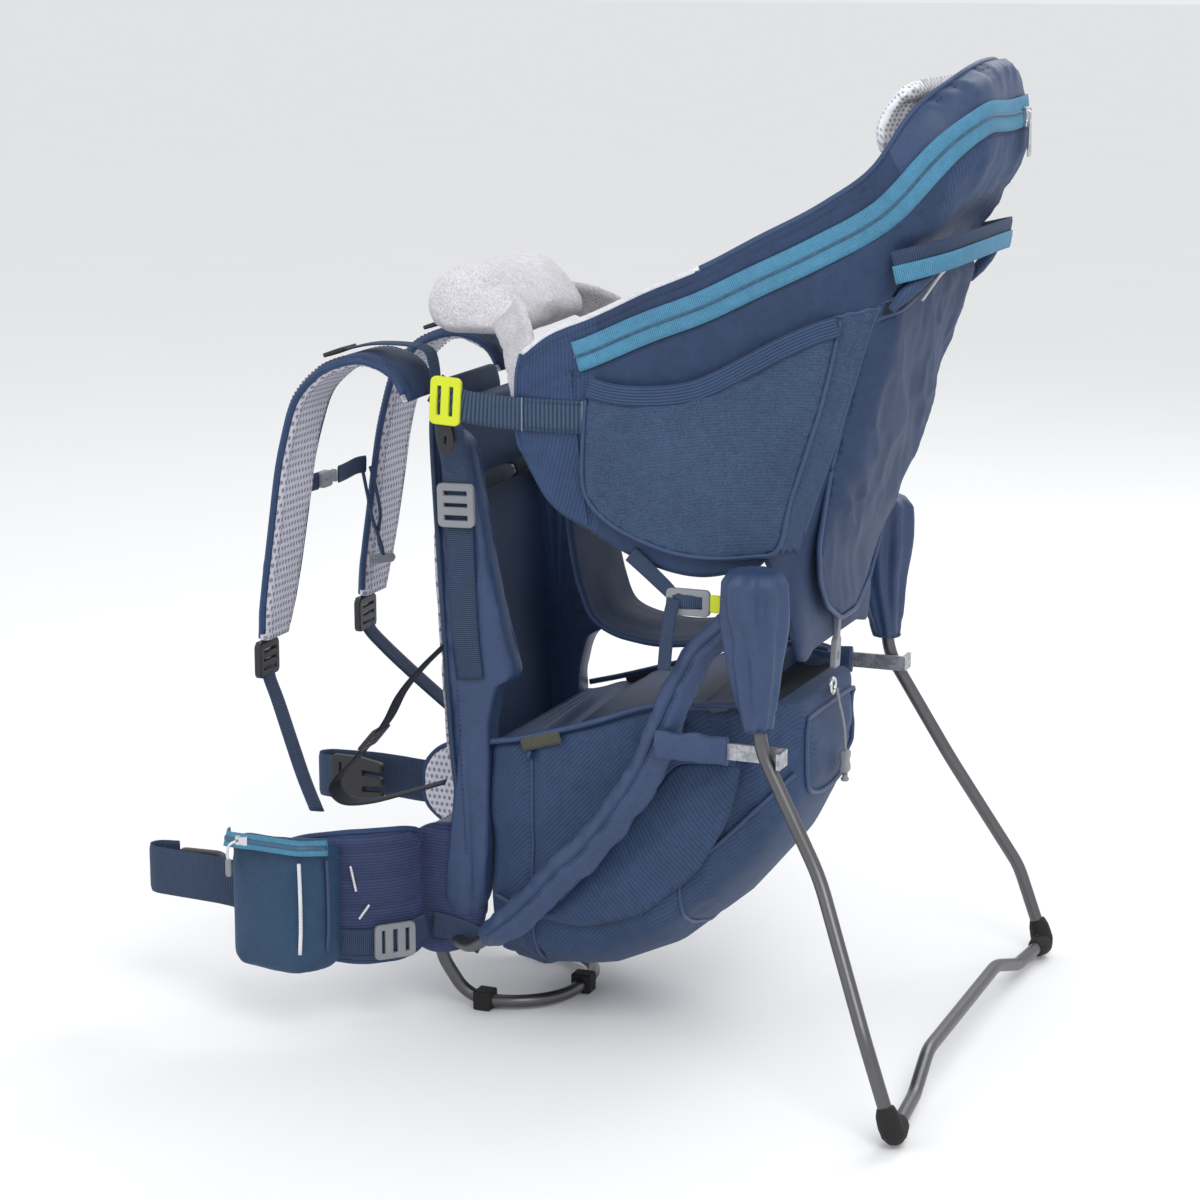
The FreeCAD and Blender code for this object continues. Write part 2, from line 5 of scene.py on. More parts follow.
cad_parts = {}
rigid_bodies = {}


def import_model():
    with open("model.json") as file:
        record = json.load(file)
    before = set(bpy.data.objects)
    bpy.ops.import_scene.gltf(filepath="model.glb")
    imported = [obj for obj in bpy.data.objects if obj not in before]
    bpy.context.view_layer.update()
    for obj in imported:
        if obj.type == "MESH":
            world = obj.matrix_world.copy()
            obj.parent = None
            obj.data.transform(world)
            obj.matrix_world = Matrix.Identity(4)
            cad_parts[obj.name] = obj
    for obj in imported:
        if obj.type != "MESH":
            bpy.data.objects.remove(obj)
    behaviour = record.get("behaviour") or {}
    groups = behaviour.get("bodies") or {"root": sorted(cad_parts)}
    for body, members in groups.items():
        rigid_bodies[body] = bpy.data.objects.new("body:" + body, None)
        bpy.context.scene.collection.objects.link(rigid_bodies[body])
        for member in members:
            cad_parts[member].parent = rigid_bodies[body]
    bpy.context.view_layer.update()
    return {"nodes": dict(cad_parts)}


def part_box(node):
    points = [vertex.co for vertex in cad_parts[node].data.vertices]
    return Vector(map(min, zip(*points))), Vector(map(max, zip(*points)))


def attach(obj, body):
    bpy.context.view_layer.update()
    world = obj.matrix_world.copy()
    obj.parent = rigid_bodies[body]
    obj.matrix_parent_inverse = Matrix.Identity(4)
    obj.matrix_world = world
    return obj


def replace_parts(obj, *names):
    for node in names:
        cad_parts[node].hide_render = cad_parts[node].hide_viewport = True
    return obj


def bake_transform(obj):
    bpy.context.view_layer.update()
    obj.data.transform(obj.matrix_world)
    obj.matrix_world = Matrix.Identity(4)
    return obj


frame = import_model()
nodes = frame["nodes"]


# the drawing frame of the outlines below: X = 0 at the front of the floor loop, millimetres
_lo, _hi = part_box("hinge_pins")
X0 = 281.0 - 500.0 * (_lo[0] + _hi[0])

# ------------------------------------------------------------------ camera first
sc = bpy.context.scene
A, E = math.radians(21.7), math.radians(12.4)
cam = bpy.data.cameras.new("camera")
cam_ob = bpy.data.objects.new("camera", cam)
sc.collection.objects.link(cam_ob)
cam_ob.location = ((995.7 - X0) / 1000.0, -2.3024, 0.8941)
look = Vector((-math.sin(A) * math.cos(E), math.cos(A) * math.cos(E), -math.sin(E)))
cam_ob.rotation_euler = look.to_track_quat("-Z", "Y").to_euler()
cam.sensor_width = 36.0
cam.lens = 3008.5 * 36.0 / 1200.0
cam.clip_end = 60.0
sc.camera = cam_ob


# ------------------------------------------------------------------ small numeric tools
def M(pts):
    """drawing frame millimetres to row frame metres"""
    p = np.asarray(pts, float).reshape(-1, 3).copy()
    p[:, 0] -= X0
    return p / 1000.0


def _hash(ix, iy, iz, seed):
    h = (ix.astype(np.int64) * 374761393 + iy.astype(np.int64) * 668265263 + iz.astype(np.int64) * 2147483647
         + seed * 1274126177) & 0xFFFFFFFF
    h = ((h ^ (h >> 13)) * 1274126177) & 0xFFFFFFFF
    h = h ^ (h >> 16)
    return (h & 0xFFFF) / 32767.5 - 1.0


def vnoise(p, seed=0):
    p = np.asarray(p, float)
    f = np.floor(p)
    t = p - f
    t = t * t * t * (t * (t * 6 - 15) + 10)
    i = f.astype(np.int64)
    out = 0.0
    for dx in (0, 1):
        wx = t[:, 0] if dx else 1 - t[:, 0]
        for dy in (0, 1):
            wy = t[:, 1] if dy else 1 - t[:, 1]
            for dz in (0, 1):
                wz = t[:, 2] if dz else 1 - t[:, 2]
                out = out + wx * wy * wz * _hash(i[:, 0] + dx, i[:, 1] + dy, i[:, 2] + dz, seed)
    return out


def folds(p, along, pitch, stretch=4.0, seed=0):
    """crease field: ridges that run along a direction, pitch mm apart"""
    p = np.asarray(p, float)
    a = np.asarray(along, float)
    a = a / np.linalg.norm(a)
    b = np.cross(a, (0.31, 0.77, 0.55))
    b = b / np.linalg.norm(b)
    c = np.cross(a, b)
    q = np.stack([p @ a / (pitch * stretch), p @ b / pitch, p @ c / pitch], 1)
    w = vnoise(q * 0.6 + 7.3, seed + 5)[:, None] * 0.45
    n = vnoise(q + w, seed)
    r = 1.0 - 2.0 * np.abs(n)
    return r * 0.75 + 0.25 * vnoise(q * 2.1, seed + 9)


def soft(p, size, seed=0):
    return vnoise(np.asarray(p, float) / size, seed)


def bump(x, c, w):
    return np.exp(-((x - c) / w) ** 2)


def crom(P, n=None, step=None, closed=False):
    P = np.asarray(P, float)
    m = len(P)
    segs = m if closed else m - 1
    out = []
    ts = np.linspace(0, 1, 14, endpoint=False)[:, None]
    for i in range(segs):
        p1, p2 = P[i % m], P[(i + 1) % m]
        p0 = P[(i - 1) % m] if (closed or i > 0) else 2 * p1 - p2
        p3 = P[(i + 2) % m] if (closed or i + 2 < m) else 2 * p2 - p1
        out.append(0.5 * ((2 * p1) + (-p0 + p2) * ts + (2 * p0 - 5 * p1 + 4 * p2 - p3) * ts ** 2
                          + (-p0 + 3 * p1 - 3 * p2 + p3) * ts ** 3))
    out = np.vstack(out + [P[:1] if closed else P[-1:]])
    return resample(out, n, step, closed)


def resample(C, n=None, step=None, closed=False):
    d = np.r_[0, np.cumsum(np.linalg.norm(np.diff(C, axis=0), axis=1))]
    if n is None:
        n = max(3, int(round(d[-1] / step)) + (0 if closed else 1))
    t = np.linspace(0, d[-1], n + 1)[:-1] if closed else np.linspace(0, d[-1], n)
    return np.stack([np.interp(t, d, C[:, k]) for k in range(C.shape[1])], 1)


def round_corners(P, r, closed=True, k=5):
    P = np.asarray(P, float)
    m = len(P)
    out = []
    for i in range(m):
        if not closed and i in (0, m - 1):
            out.append(P[i])
            continue
        a, b, c = P[(i - 1) % m], P[i], P[(i + 1) % m]
        if np.linalg.norm(a - b) < 1e-6 or np.linalg.norm(c - b) < 1e-6:
            out.append(b)
            continue
        ra = min(r, 0.45 * np.linalg.norm(a - b))
        rc = min(r, 0.45 * np.linalg.norm(c - b))
        p, q = b + (a - b) / np.linalg.norm(a - b) * ra, b + (c - b) / np.linalg.norm(c - b) * rc
        for t in np.linspace(0, 1, k):
            out.append((1 - t) ** 2 * p + 2 * t * (1 - t) * b + t * t * q)
    return np.array(out)


def unit(v):
    v = np.asarray(v, float)
    return v / np.maximum(np.linalg.norm(v, axis=-1, keepdims=True), 1e-9)


# ------------------------------------------------------------------ mesh builders
def make(name, verts_mm, faces, mats, uv=None, face_mat=None, smooth=True, metres=False):
    me = bpy.data.meshes.new(name)
    v = np.asarray(verts_mm, float) if metres else M(verts_mm)
    me.from_pydata([tuple(p) for p in v], [], [tuple(int(i) for i in f) for f in faces])
    me.validate()
    for m in (mats if isinstance(mats, (list, tuple)) else [mats]):
        me.materials.append(m)
    if face_mat is not None and len(face_mat) == len(me.polygons):
        me.polygons.foreach_set("material_index", np.asarray(face_mat, np.int32))
    if uv is not None:
        layer = me.uv_layers.new(name="cut")
        idx = np.empty(len(me.loops), np.int32)
        me.loops.foreach_get("vertex_index", idx)
        layer.data.foreach_set("uv", np.asarray(uv, float)[idx].astype(np.float32).ravel())
    if smooth:
        me.polygons.foreach_set("use_smooth", [True] * len(me.polygons))
    me.update()
    ob = bpy.data.objects.new(name, me)
    sc.collection.objects.link(ob)
    return ob


def fix_normals(ob):
    bm = bmesh.new()
    bm.from_mesh(ob.data)
    bmesh.ops.recalc_face_normals(bm, faces=bm.faces)
    bm.to_mesh(ob.data)
    bm.free()
    return ob


def grid_normals(G, wrap=False):
    du = np.gradient(G, axis=0)
    dv = (np.roll(G, -1, 1) - np.roll(G, 1, 1)) if wrap else np.gradient(G, axis=1)
    return unit(np.cross(du, dv))


def grid_uv(G, wrap=False):
    a = np.zeros(G.shape[:2])
    b = np.zeros(G.shape[:2])
    a[1:] = np.cumsum(np.linalg.norm(np.diff(G, axis=0), axis=2), 0)
    b[:, 1:] = np.cumsum(np.linalg.norm(np.diff(G, axis=1), axis=2), 1)
    return np.stack([b.ravel(), a.ravel()], 1) / 1000.0


def grid_faces(R, C, base=0, wrap=False, flip=False):
    f = []
    for i in range(R - 1):
        for j in range(C if wrap else C - 1):
            k = (j + 1) % C
            q = (base + i * C + j, base + i * C + k, base + (i + 1) * C + k, base + (i + 1) * C + j)
            f.append(q[::-1] if flip else q)
    return f


def loft(name, G, mats, cap=True, face_mat=None, uv=None):
    """closed rings (R, C, 3) joined, with fan caps"""
    R, C = G.shape[:2]
    v = G.reshape(-1, 3)
    f = grid_faces(R, C, wrap=True)
    u = grid_uv(G) if uv is None else uv
    fm = None if face_mat is None else list(face_mat)
    if cap:
        v = np.vstack([v, G[0].mean(0), G[-1].mean(0)])
        u = np.vstack([u, u[:C].mean(0), u[-C:].mean(0)])
        n = R * C
        for j in range(C):
            k = (j + 1) % C
            f.append((k, j, n))
            f.append(((R - 1) * C + j, (R - 1) * C + k, n + 1))
            if fm is not None:
                fm += [fm[0], fm[0]]
    return fix_normals(make(name, v, f, mats, uv=u, face_mat=fm))


def shell(name, G, mats, out=1.5, inn=2.0, disp=None, disp_in=None, face_mat_out=0, face_mat_in=0, face_fn=None):
    """an open sheet G (R, C, 3) given thickness; out is along the grid normal"""
    R, C = G.shape[:2]
    Nn = grid_normals(G)
    a = G + Nn * (out + (0 if disp is None else disp[..., None]))
    b = G - Nn * (inn - (0 if disp_in is None else disp_in[..., None]))
    v = np.vstack([a.reshape(-1, 3), b.reshape(-1, 3)])
    u = grid_uv(G)
    fo = grid_faces(R, C)
    fi = grid_faces(R, C, base=R * C, flip=True)
    f = fo + fi
    fm = [face_mat_out] * len(fo) + [face_mat_in] * len(fi)
    if face_fn is not None:
        k = 0
        for i in range(R - 1):
            for j in range(C - 1):
                fm[k] = face_fn(i, j)
                k += 1
    o = R * C
    ring = ([(0, j) for j in range(C)] + [(i, C - 1) for i in range(1, R)] + [(R - 1, j) for j in range(C - 2, -1, -1)]
            + [(i, 0) for i in range(R - 2, 0, -1)])
    ids = [i * C + j for i, j in ring]
    for k in range(len(ids)):
        p, q = ids[k], ids[(k + 1) % len(ids)]
        f.append((q, p, o + p, o + q))
        fm.append(face_mat_out)
    return fix_normals(make(name, v, f, mats, uv=np.vstack([u, u]), face_mat=fm))


def poly_dist(p, poly):
    a = poly
    b = np.roll(poly, -1, 0)
    best = np.full(len(p), 1e9)
    for s, e in zip(a, b):
        d = e - s
        t = np.clip(((p - s) @ d) / max(d @ d, 1e-9), 0, 1)
        q = s + t[:, None] * d
        best = np.minimum(best, np.linalg.norm(p - q, axis=1))
    return best


def inside(p, poly):
    x, y = p[:, 0], p[:, 1]
    c = np.zeros(len(p), bool)
    n = len(poly)
    for i in range(n):
        x1, y1 = poly[i]
        x2, y2 = poly[(i + 1) % n]
        hit = ((y1 > y) != (y2 > y)) & (x < (x2 - x1) * (y - y1) / (y2 - y1 + 1e-12) + x1)
        c ^= hit
    return c


def sheet2d(outline, step):
    b = resample(np.vstack([outline, outline[:1]]), step=step, closed=True)
    lo, hi = b.min(0), b.max(0)
    pts = []
    row = 0
    y = lo[1]
    while y < hi[1]:
        xs = np.arange(lo[0] + (step / 2 if row % 2 else 0), hi[0], step)
        pts.append(np.stack([xs, np.full(len(xs), y)], 1))
        y += step * 0.866
        row += 1
    g = np.vstack(pts)
    g = g[inside(g, b)]
    g = g[poly_dist(g, b) > step * 0.62]
    allp = np.vstack([b, g])
    nb = len(b)
    v, e, f, ov, oe, of = geometry.delaunay_2d_cdt([Vector(p) for p in allp], [(i, (i + 1) % nb) for i in range(nb)],
                                                   [list(range(nb))], 1, 1e-5)
    v = np.array([tuple(p) for p in v])
    return v, [tuple(q) for q in f], b


def panel(name, outline, surf, mats, t=4.0, step=4.0, crown=0.0, crown_w=18.0, disp=None, back=True, corner=0.0, edge_r=None,
          back_mat=0, lift=0.0):
    """A cut cloth piece: 2D outline (mm) laid on surf(u, v) -> (points, normals)."""
    outline = np.asarray(outline, float)
    if corner:
        outline = round_corners(outline, corner)
    v2, tris, b = sheet2d(outline, step)
    d = poly_dist(v2, b)
    P, Nn = surf(v2[:, 0], v2[:, 1])
    er = edge_r or max(1.5, t / 2.0)
    prof = np.sqrt(np.clip(1 - (1 - np.clip(d / er, 0, 1)) ** 2, 0, 1))
    h = t / 2.0 * prof + crown * (1 - np.exp(-(d / crown_w) ** 1.3)) + lift
    if disp is not None:
        h = h + disp(v2, P, d) * np.clip(d / 6.0, 0, 1)
    front = P + Nn * h[:, None]
    rear = P - Nn * (t / 2.0 * prof - lift)[:, None]
    n = len(v2)
    edge = d < 1e-3
    vs = np.vstack([front, rear])
    f, fm = [], []
    for q in tris:
        f.append(q)
        fm.append(0)
        f.append(tuple((i if edge[i] else i + n) for i in q[::-1]))
        fm.append(back_mat)
    uv = np.vstack([v2, v2]) / 1000.0
    ob = make(name, vs, f, mats, uv=uv, face_mat=fm)
    bm = bmesh.new()
    bm.from_mesh(ob.data)
    bmesh.ops.delete(bm, geom=[x for x in bm.verts if not x.link_faces], context="VERTS")
    bmesh.ops.recalc_face_normals(bm, faces=bm.faces)
    bm.to_mesh(ob.data)
    bm.free()
    return ob


def ribbon(name, path, side, width, mats, t=1.6, step=3.0, smooth=True, nw=8, crown=0.0, wprof=None, two=False, closed=False, disp=None):
    """flat webbing along a path; side gives the width direction (one vector or one per point)"""
    path = np.asarray(path, float)
    side = np.asarray(side, float)
    if side.ndim == 1:
        side = np.repeat(side[None], len(path), 0)
    both = np.hstack([path, side])
    if wprof is None:
        wprof = np.full(len(path), float(width))
    both = np.hstack([both, np.asarray(wprof, float)[:, None]])
    C = crom(both, step=step, closed=closed) if smooth else resample(both, step=step)
    if smooth:
        d = np.r_[0, np.cumsum(np.linalg.norm(np.diff(C[:, :3], axis=0), axis=1))]
        C = np.stack([np.interp(np.linspace(0, d[-1], max(3, int(d[-1] / step) + 1)), d, C[:, k]) for k in range(7)], 1)
    P, S, Wd = C[:, :3], unit(C[:, 3:6]), C[:, 6]
    T = unit(np.gradient(P, axis=0))
    S = unit(S - T * np.sum(S * T, 1, keepdims=True))
    Nn = np.cross(S, T)
    x = np.linspace(-1, 1, nw + 1)
    top = np.stack([x, np.full_like(x, 1.0)], 1)
    prof = np.vstack([top, top[::-1] * (1, -1)])
    e = np.sqrt(np.clip(1 - np.abs(prof[:, 0]) ** 10, 0, 1)) * 0.75 + 0.25
    rings = []
    for i in range(len(P)):
        y = prof[:, 0] * Wd[i] / 2.0
        z = prof[:, 1] * t / 2.0 * e + np.where(prof[:, 1] > 0, 1, 0) * crown * (1 - prof[:, 0] ** 2)
        rings.append(P[i] + S[i] * y[:, None] + Nn[i] * z[:, None])
    G = np.array(rings)
    if disp is not None:
        G = G + disp(G)
    d = np.r_[0, np.cumsum(np.linalg.norm(np.diff(P, axis=0), axis=1))]
    uv = np.stack([np.tile(prof[:, 0], len(P)) * np.repeat(Wd, len(prof)) / 2000.0, np.repeat(d, len(prof)) / 1000.0], 1)
    fm = None
    if two:
        nc = len(prof)
        fm = []
        for i in range(len(P) - 1):
            for j in range(nc):
                fm.append(0 if (j <= nw) else 1)
    ob = loft(name, G, mats, face_mat=fm, uv=uv)
    return ob


def pipe(name, path, r, mats, step=3.0, n=8, smooth=True, closed=False, radii=None):
    path = np.asarray(path, float)
    C = crom(path, step=step, closed=closed) if smooth else resample(path, step=step)
    T = unit(np.gradient(C, axis=0)) if not closed else unit(np.roll(C, -1, 0) - np.roll(C, 1, 0))
    ref = np.array([0.13, 0.41, 0.9])
    rings = []
    s = unit(np.cross(T[0], ref))
    for i in range(len(C)):
        s = unit(s - T[i] * (s @ T[i]))
        w = np.cross(T[i], s)
        ang = np.linspace(0, 2 * np.pi, n, endpoint=False)
        rr = r if radii is None else np.interp(i / (len(C) - 1), np.linspace(0, 1, len(radii)), radii)
        rings.append(C[i] + rr * (np.cos(ang)[:, None] * s + np.sin(ang)[:, None] * w))
    G = np.array(rings)
    if closed:
        G = np.concatenate([G, G[:1]], 0)
        return loft(name, G, mats, cap=False)
    return loft(name, G, mats)


def stitches(name, path, mat, pitch=3.6, dash=2.3, r=0.42, smooth=True, closed=False):
    C = crom(path, step=pitch, closed=closed) if smooth else resample(np.asarray(path, float), step=pitch)
    T = unit(np.gradient(C, axis=0))
    v, f = [], []
    for c, t in zip(C, T):
        s = unit(np.cross(t, (0.21, 0.35, 0.91)))
        w = np.cross(t, s)
        b = len(v)
        for q, k in ((-0.5, 0.35), (-0.3, 1.0), (0.3, 1.0), (0.5, 0.35)):
            for a in range(5):
                an = a * 2 * math.pi / 5
                v.append(c + t * dash * q + r * k * (math.cos(an) * s + math.sin(an) * w))
        for q in range(3):
            for a in range(5):
                f.append((b + q * 5 + a, b + q * 5 + (a + 1) % 5, b + (q + 1) * 5 + (a + 1) % 5, b + (q + 1) * 5 + a))
        f.append(tuple(b + a for a in range(4, -1, -1)))
        f.append(tuple(b + 15 + a for a in range(5)))
    return make(name, v, f, mat)


def plate(name, outer, holes, t, mat, origin, xa, ya, bevel=0.8, corner=2.0, hole_corner=1.0):
    """moulded plate with holes, rounded edges; outlines in mm in the (xa, ya) plane at origin"""
    cu = bpy.data.curves.new(name + "_c", "CURVE")
    cu.dimensions = "2D"
    cu.fill_mode = "BOTH"
    cu.extrude = max(0.05, (t / 2.0 - bevel)) / 1000.0
    cu.bevel_depth = bevel / 1000.0
    cu.bevel_resolution = 2
    for k, lp in enumerate([outer] + list(holes)):
        q = round_corners(np.asarray(lp, float), corner if k == 0 else hole_corner)
        sp = cu.splines.new("POLY")
        sp.points.add(len(q) - 1)
        for i, p in enumerate(q):
            sp.points[i].co = (p[0] / 1000.0, p[1] / 1000.0, 0, 1)
        sp.use_cyclic_u = True
    tmp = bpy.data.objects.new(name + "_t", cu)
    sc.collection.objects.link(tmp)
    bpy.context.view_layer.update()
    me = bpy.data.meshes.new_from_object(tmp.evaluated_get(bpy.context.evaluated_depsgraph_get()))
    bpy.data.objects.remove(tmp)
    me.name = name
    xa, ya = unit(xa), unit(ya)
    za = np.cross(xa, ya)
    o = M([origin])[0]
    me.transform(Matrix(((xa[0], ya[0], za[0], o[0]), (xa[1], ya[1], za[1], o[1]), (xa[2], ya[2], za[2], o[2]), (0, 0, 0, 1))))
    me.materials.clear()
    me.materials.append(mat)
    me.polygons.foreach_set("use_smooth", [False] * len(me.polygons))
    ob = bpy.data.objects.new(name, me)
    sc.collection.objects.link(ob)
    return ob


def join(name, obs):
    """several meshes into one object, materials kept"""
    mats, vs, fs, fm, uvs, sm = [], [], [], [], [], []
    base = 0
    for o in obs:
        me = o.data
        mp = []
        for m in me.materials:
            if m not in mats:
                mats.append(m)
            mp.append(mats.index(m))
        co = np.empty(len(me.vertices) * 3, np.float32)
        me.vertices.foreach_get("co", co)
        vs.append(co.reshape(-1, 3))
        lay = me.uv_layers[0].data if me.uv_layers else None
        for p in me.polygons:
            fs.append(tuple(base + i for i in p.vertices))
            fm.append(mp[p.material_index] if mp else 0)
            sm.append(p.use_smooth)
            for li in p.loop_indices:
                uvs.append(tuple(lay[li].uv) if lay else (0.0, 0.0))
        base += len(me.vertices)
    me = bpy.data.meshes.new(name)
    me.from_pydata([tuple(map(float, p)) for p in np.vstack(vs)], [], fs)
    for m in mats:
        me.materials.append(m)
    me.polygons.foreach_set("material_index", fm)
    me.polygons.foreach_set("use_smooth", sm)
    lay = me.uv_layers.new(name="cut")
    if len(uvs) == len(me.loops):
        lay.data.foreach_set("uv", np.asarray(uvs, np.float32).ravel())
    me.update()
    for o in obs:
        old = o.data
        bpy.data.objects.remove(o)
        bpy.data.meshes.remove(old)
    ob = bpy.data.objects.new(name, me)
    sc.collection.objects.link(ob)
    return ob


def mirror(ob, name):
    me = ob.data.copy()
    me.name = name
    me.transform(Matrix.Scale(-1, 4, Vector((0, 1, 0))))
    me.flip_normals()
    o = bpy.data.objects.new(name, me)
    sc.collection.objects.link(o)
    return o


def puff(ob, voxel=0.005, pressure=4.0, cap=0.008, frames=20, pin=None):
    """cloth with inner pressure, result applied; movement capped"""
    rem = ob.modifiers.new("r", "REMESH")
    rem.mode = "VOXEL"
    rem.voxel_size = voxel
    dg = bpy.context.evaluated_depsgraph_get()
    me = bpy.data.meshes.new_from_object(ob.evaluated_get(dg))
    ob.modifiers.remove(rem)
    mats = list(ob.data.materials)
    ob.data = me
    me.materials.clear()
    for m in mats:
        me.materials.append(m)
    start = np.empty(len(me.vertices) * 3)
    me.vertices.foreach_get("co", start)
    cl = ob.modifiers.new("c", "CLOTH")
    cl.settings.quality = 5
    cl.settings.mass = 0.3
    cl.settings.tension_stiffness = 15
    cl.settings.compression_stiffness = 15
    cl.settings.bending_stiffness = 0.5
    cl.settings.use_pressure = True
    cl.settings.uniform_pressure_force = pressure
    cl.settings.effector_weights.gravity = 0
    cl.collision_settings.use_collision = False
    cl.point_cache.frame_start = 1
    cl.point_cache.frame_end = frames
    for fr in range(1, frames + 1):
        sc.frame_set(fr)
    dg = bpy.context.evaluated_depsgraph_get()
    got = bpy.data.meshes.new_from_object(ob.evaluated_get(dg))
    end = np.empty(len(got.vertices) * 3)
    got.vertices.foreach_get("co", end)
    ob.modifiers.remove(cl)
    d = (end - start).reshape(-1, 3)
    L = np.linalg.norm(d, axis=1, keepdims=True)
    d = d * np.minimum(1.0, cap / np.maximum(L, 1e-9))
    me.vertices.foreach_set("co", (start.reshape(-1, 3) + d).ravel())
    me.polygons.foreach_set("use_smooth", [True] * len(me.polygons))
    me.update()
    sc.frame_set(1)
    return ob


# ------------------------------------------------------------------ materials
def nd(nt, kind, **kw):
    n = nt.nodes.new(kind)
    for k, v in kw.items():
        if k in n.inputs:
            n.inputs[k].default_value = v
        else:
            setattr(n, k, v)
    return n


def mt(nt, op, a, b=None, c=None, clamp=False):
    n = nt.nodes.new("ShaderNodeMath")
    n.operation = op
    n.use_clamp = clamp
    for i, v in enumerate((a, b, c)):
        if v is None:
            continue
        if isinstance(v, (int, float)):
            n.inputs[i].default_value = v
        else:
            nt.links.new(v, n.inputs[i])
    return n.outputs[0]


def mixc(nt, fac, a, b, mode="MIX"):
    n = nt.nodes.new("ShaderNodeMix")
    n.data_type = "RGBA"
    n.blend_type = mode
    nt.links.new(fac, n.inputs[0])
    for i, v in ((6, a), (7, b)):
        if hasattr(v, "is_linked"):
            nt.links.new(v, n.inputs[i])
        else:
            n.inputs[i].default_value = (v[0], v[1], v[2], 1)
    return n.outputs[2]


def ramp(nt, fac, lo, hi):
    n = nt.nodes.new("ShaderNodeMapRange")
    n.interpolation_type = "SMOOTHSTEP"
    n.inputs[1].default_value = lo
    n.inputs[2].default_value = hi
    nt.links.new(fac, n.inputs[0])
    return n.outputs[0]


def noise(nt, vec, scale, detail=3.0, rough=0.55):
    n = nt.nodes.new("ShaderNodeTexNoise")
    n.inputs["Scale"].default_value = scale
    n.inputs["Detail"].default_value = detail
    n.inputs["Roughness"].default_value = rough
    nt.links.new(vec, n.inputs["Vector"])
    return n.outputs[0]


def pattern(nt, kind, pitch, aspect=1.0):
    """height 0..1 of the cloth structure, from the flat cut of the piece in metres"""
    uv = nd(nt, "ShaderNodeUVMap", uv_map="cut")
    sep = nt.nodes.new("ShaderNodeSeparateXYZ")
    nt.links.new(uv.outputs[0], sep.inputs[0])
    u = mt(nt, "MULTIPLY", sep.outputs[0], 1000.0 / pitch)
    v = mt(nt, "MULTIPLY", sep.outputs[1], 1000.0 / (pitch * aspect))
    if kind == "weave":
        a = mt(nt, "SINE", mt(nt, "MULTIPLY", u, 2 * math.pi))
        b = mt(nt, "SINE", mt(nt, "MULTIPLY", v, 2 * math.pi))
        return mt(nt, "MULTIPLY_ADD", mt(nt, "MULTIPLY", a, b), 0.5, 0.5)
    if kind == "ribs":
        return mt(nt, "ABSOLUTE", mt(nt, "SINE", mt(nt, "MULTIPLY", u, math.pi)))
    if kind == "cross":
        return mt(nt, "ABSOLUTE", mt(nt, "SINE", mt(nt, "MULTIPLY", v, math.pi)))
    if kind == "diag":
        w = mt(nt, "ADD", mt(nt, "MULTIPLY", u, 0.82), mt(nt, "MULTIPLY", v, 0.57))
        return mt(nt, "ABSOLUTE", mt(nt, "SINE", mt(nt, "MULTIPLY", w, math.pi)))
    if kind == "ripstop":
        a = mt(nt, "POWER", mt(nt, "ABSOLUTE", mt(nt, "COSINE", mt(nt, "MULTIPLY", u, math.pi))), 18.0)
        b = mt(nt, "POWER", mt(nt, "ABSOLUTE", mt(nt, "COSINE", mt(nt, "MULTIPLY", v, math.pi))), 18.0)
        return mt(nt, "MAXIMUM", a, b)
    # perforated mesh, rows offset by half
    row = mt(nt, "FLOOR", v)
    half = mt(nt, "MULTIPLY", mt(nt, "FLOORED_MODULO", row, 2.0), 0.5)
    fx = mt(nt, "SUBTRACT", mt(nt, "FRACT", mt(nt, "ADD", u, half)), 0.5)
    fy = mt(nt, "SUBTRACT", mt(nt, "FRACT", v), 0.5)
    r2 = mt(nt, "ADD", mt(nt, "MULTIPLY", mt(nt, "MULTIPLY", fx, fx), 1.0), mt(nt, "MULTIPLY", mt(nt, "MULTIPLY", fy, fy), 1.0))
    return ramp(nt, mt(nt, "SQRT", r2), 0.2, 0.34)


SHEEN = 0.22


TONE = 0.74


